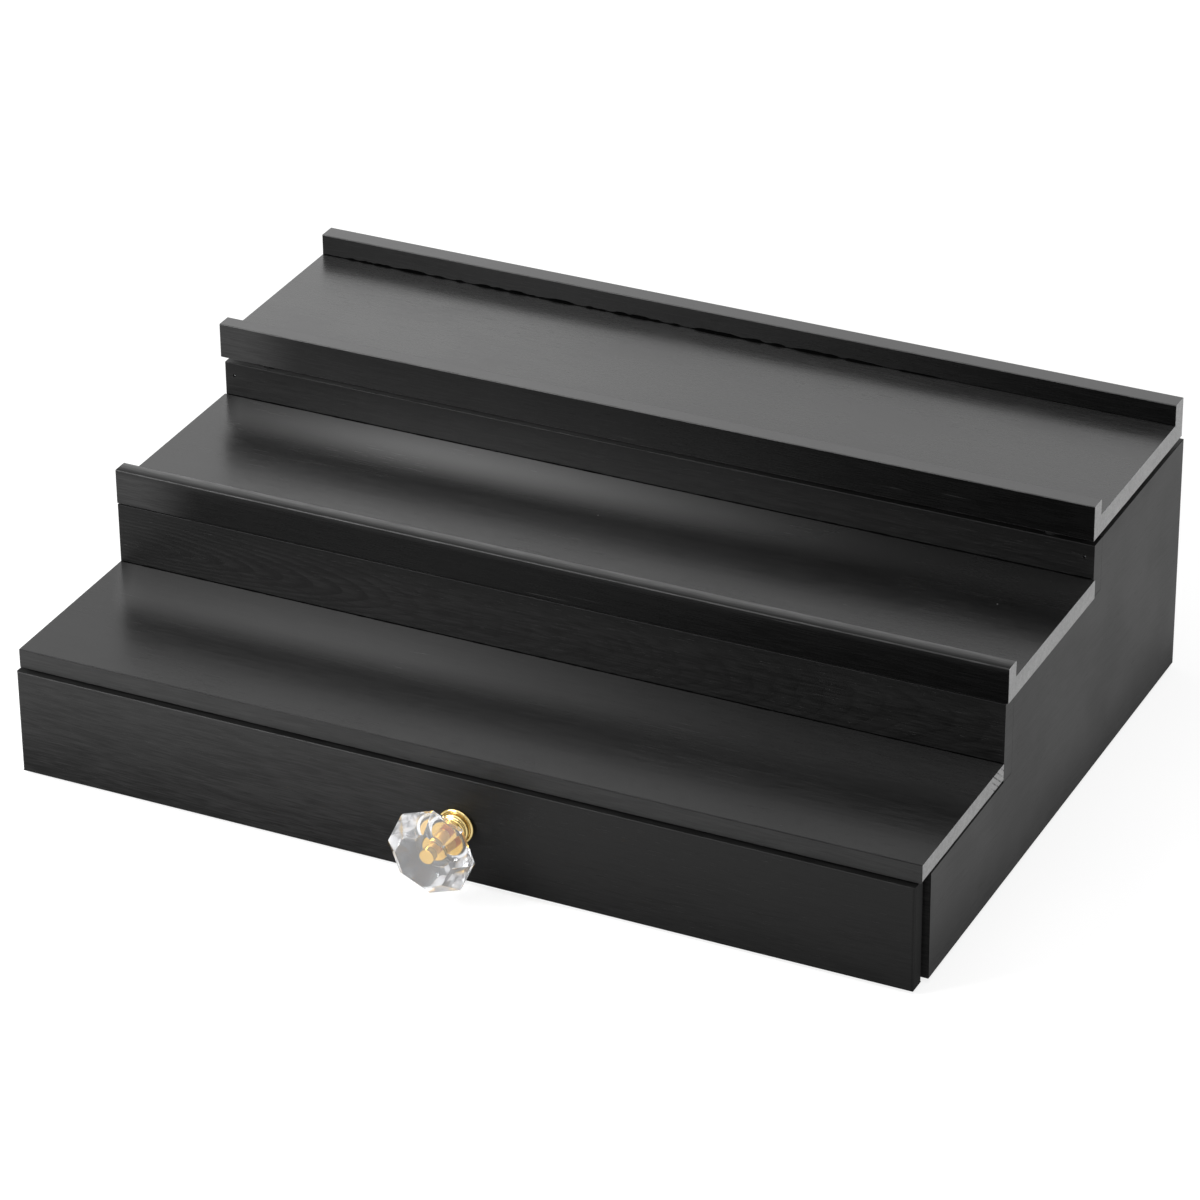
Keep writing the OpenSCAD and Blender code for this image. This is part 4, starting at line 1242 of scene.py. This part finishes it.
def glue_line(name, body, seam_y, seam_z, half_length, thickness, thinnest, fade, seed):
    """A bead along X at (seam_y, seam_z), thinner beyond the x that fade gives. Lengths in metres."""
    bead = grow(name, bead_tree, {
        "Start": (-half_length, seam_y, seam_z), "End": (half_length, seam_y, seam_z),
        "Thickness": thickness, "Thinnest": thinnest, "Fade": fade, "Seed": seed,
        "Finish": finishes["black_glue_and_shade"]})
    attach(bead, body)


BEAD_INSET = 1.0 * MM
LID_BEAD, RISER_BEAD = 1.1 * MM, 0.45 * MM
NO_FADE = 1.0
lip_low, lip_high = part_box("lid_back_lip")
glue_line("lid_glue_line", "lid", lip_low.y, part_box("lid_board")[1].z, lip_high.x - BEAD_INSET, LID_BEAD,
          0.25, 0.08, 4.0)
# The beads along the risers are painted shade: dark lines in the corners where the risers meet the shelves.
for riser, shelf, seed in (("lower_riser", "lower_shelf", 5.0), ("upper_riser", "middle_shelf", 6.0)):
    low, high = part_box(riser)
    glue_line(riser + "_glue_line", "carcass", low.y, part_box(shelf)[1].z, high.x - BEAD_INSET, RISER_BEAD,
              0.7, NO_FADE, seed)

# %% [markdown]
# ## The floor
# The floor is white to the camera, to gloss and through glass, as a lit paper sweep is, and the light that
# falls on it still shows the stand's shadow. Mirrored, it is darker close to the stand, where the paper
# gets less light. A glow takes no shadow, so a mask stands in for it.

# %% Floor
FLOOR_R = 12.0
FLOOR_GREY = 0.30
FLOOR_GLOW, FAR_GLOW = 0.80, 0.97
GLOW_START, GLOW_END = 0.30, 0.9
CONTACT_REACH, CONTACT_SHADE = 0.030, 0.48


def seen_by(tree, path, glossy):
    """A mask of 1 for camera and glass rays, and of glossy for mirrored ones."""
    straight = maths(tree, "MAXIMUM", path["Is Camera Ray"], glossy)
    return maths(tree, "MAXIMUM", straight, path["Is Transmission Ray"])


floor_finish, tree, surface, place = new_finish("white_floor")
path = add(tree, "ShaderNodeLightPath").outputs
spot = parts(tree, place)
front_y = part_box("drawer_front")[0].y
back_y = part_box("back_panel")[1].y
beside = maths(tree, "SUBTRACT", maths(tree, "ABSOLUTE", spot["X"]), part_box("side_panel_right")[1].x)
middle = maths(tree, "ABSOLUTE", maths(tree, "SUBTRACT", spot["Y"], (front_y + back_y) / 2))
before = maths(tree, "SUBTRACT", middle, (back_y - front_y) / 2)
shade = stretch(tree, maths(tree, "MAXIMUM", beside, before), 0.0, CONTACT_REACH, CONTACT_SHADE, 1.0)
seen = seen_by(tree, path, times(tree, path["Is Glossy Ray"], shade))
glow = stretch(tree, vector(tree, "LENGTH", place), GLOW_START, GLOW_END, FLOOR_GLOW, FAR_GLOW)
fill(tree, surface, {"Base Color": grey(FLOOR_GREY), "Roughness": 0.9, "Specular IOR Level": 0.0,
                     "Emission Color": grey(1.0), "Emission Strength": times(tree, seen, glow)})

builder = bmesh.new()
bmesh.ops.create_circle(builder, cap_ends=True, segments=96, radius=FLOOR_R)
floor = new_piece("floor", builder, [floor_finish])
if floor.data.polygons[0].normal.z < 0:
    floor.data.flip_normals()
print("floor radius in m:", FLOOR_R)

# %% [markdown]
# ## Lights
# Soft boxes stand where a product photographer puts them: a large one above, one low behind on the left
# that the shelf tops mirror, one on the right for the ends, and a small one near the front left. The world
# is white to the camera, gloss and glass, and a weak fill otherwise.

# %% Lights
AIM = Vector((0.0, 0.0, 0.06))
FILL = 0.17


def soft_box(name, place, width, height, watts):
    light = bpy.data.lights.new(name, "AREA")
    light.shape = "RECTANGLE"
    light.size = width
    light.size_y = height
    light.energy = watts
    lamp = bpy.data.objects.new(name, light)
    lamp.location = place
    lamp.rotation_mode = "QUATERNION"
    lamp.rotation_quaternion = (AIM - Vector(place)).to_track_quat("-Z", "Y")
    lamp.visible_camera = False
    scene.collection.objects.link(lamp)


soft_box("top_box", (0.0, -0.2, 2.2), 2.4, 2.0, 24)
soft_box("left_back_box", (-1.15, 1.25, 0.85), 1.0, 0.8, 1.0)
soft_box("right_box", (1.50, 0.35, 0.70), 1.0, 1.0, 9.0)
soft_box("left_front_box", (-0.36, -0.50, 0.42), 0.34, 0.30, 6.4)

scene.world = bpy.data.worlds.new("studio")
scene.world.use_nodes = True
sky = scene.world.node_tree
path = add(sky, "ShaderNodeLightPath").outputs
seen = seen_by(sky, path, path["Is Glossy Ray"])
strength = maths(sky, "ADD", times(sky, seen, 1.0 - FILL), FILL)
fill(sky, sky.nodes["Background"], {"Color": grey(1.0), "Strength": strength})
scene.view_settings.view_transform = "Standard"
print("soft boxes:", len(bpy.data.lights), "and a fill of", FILL)
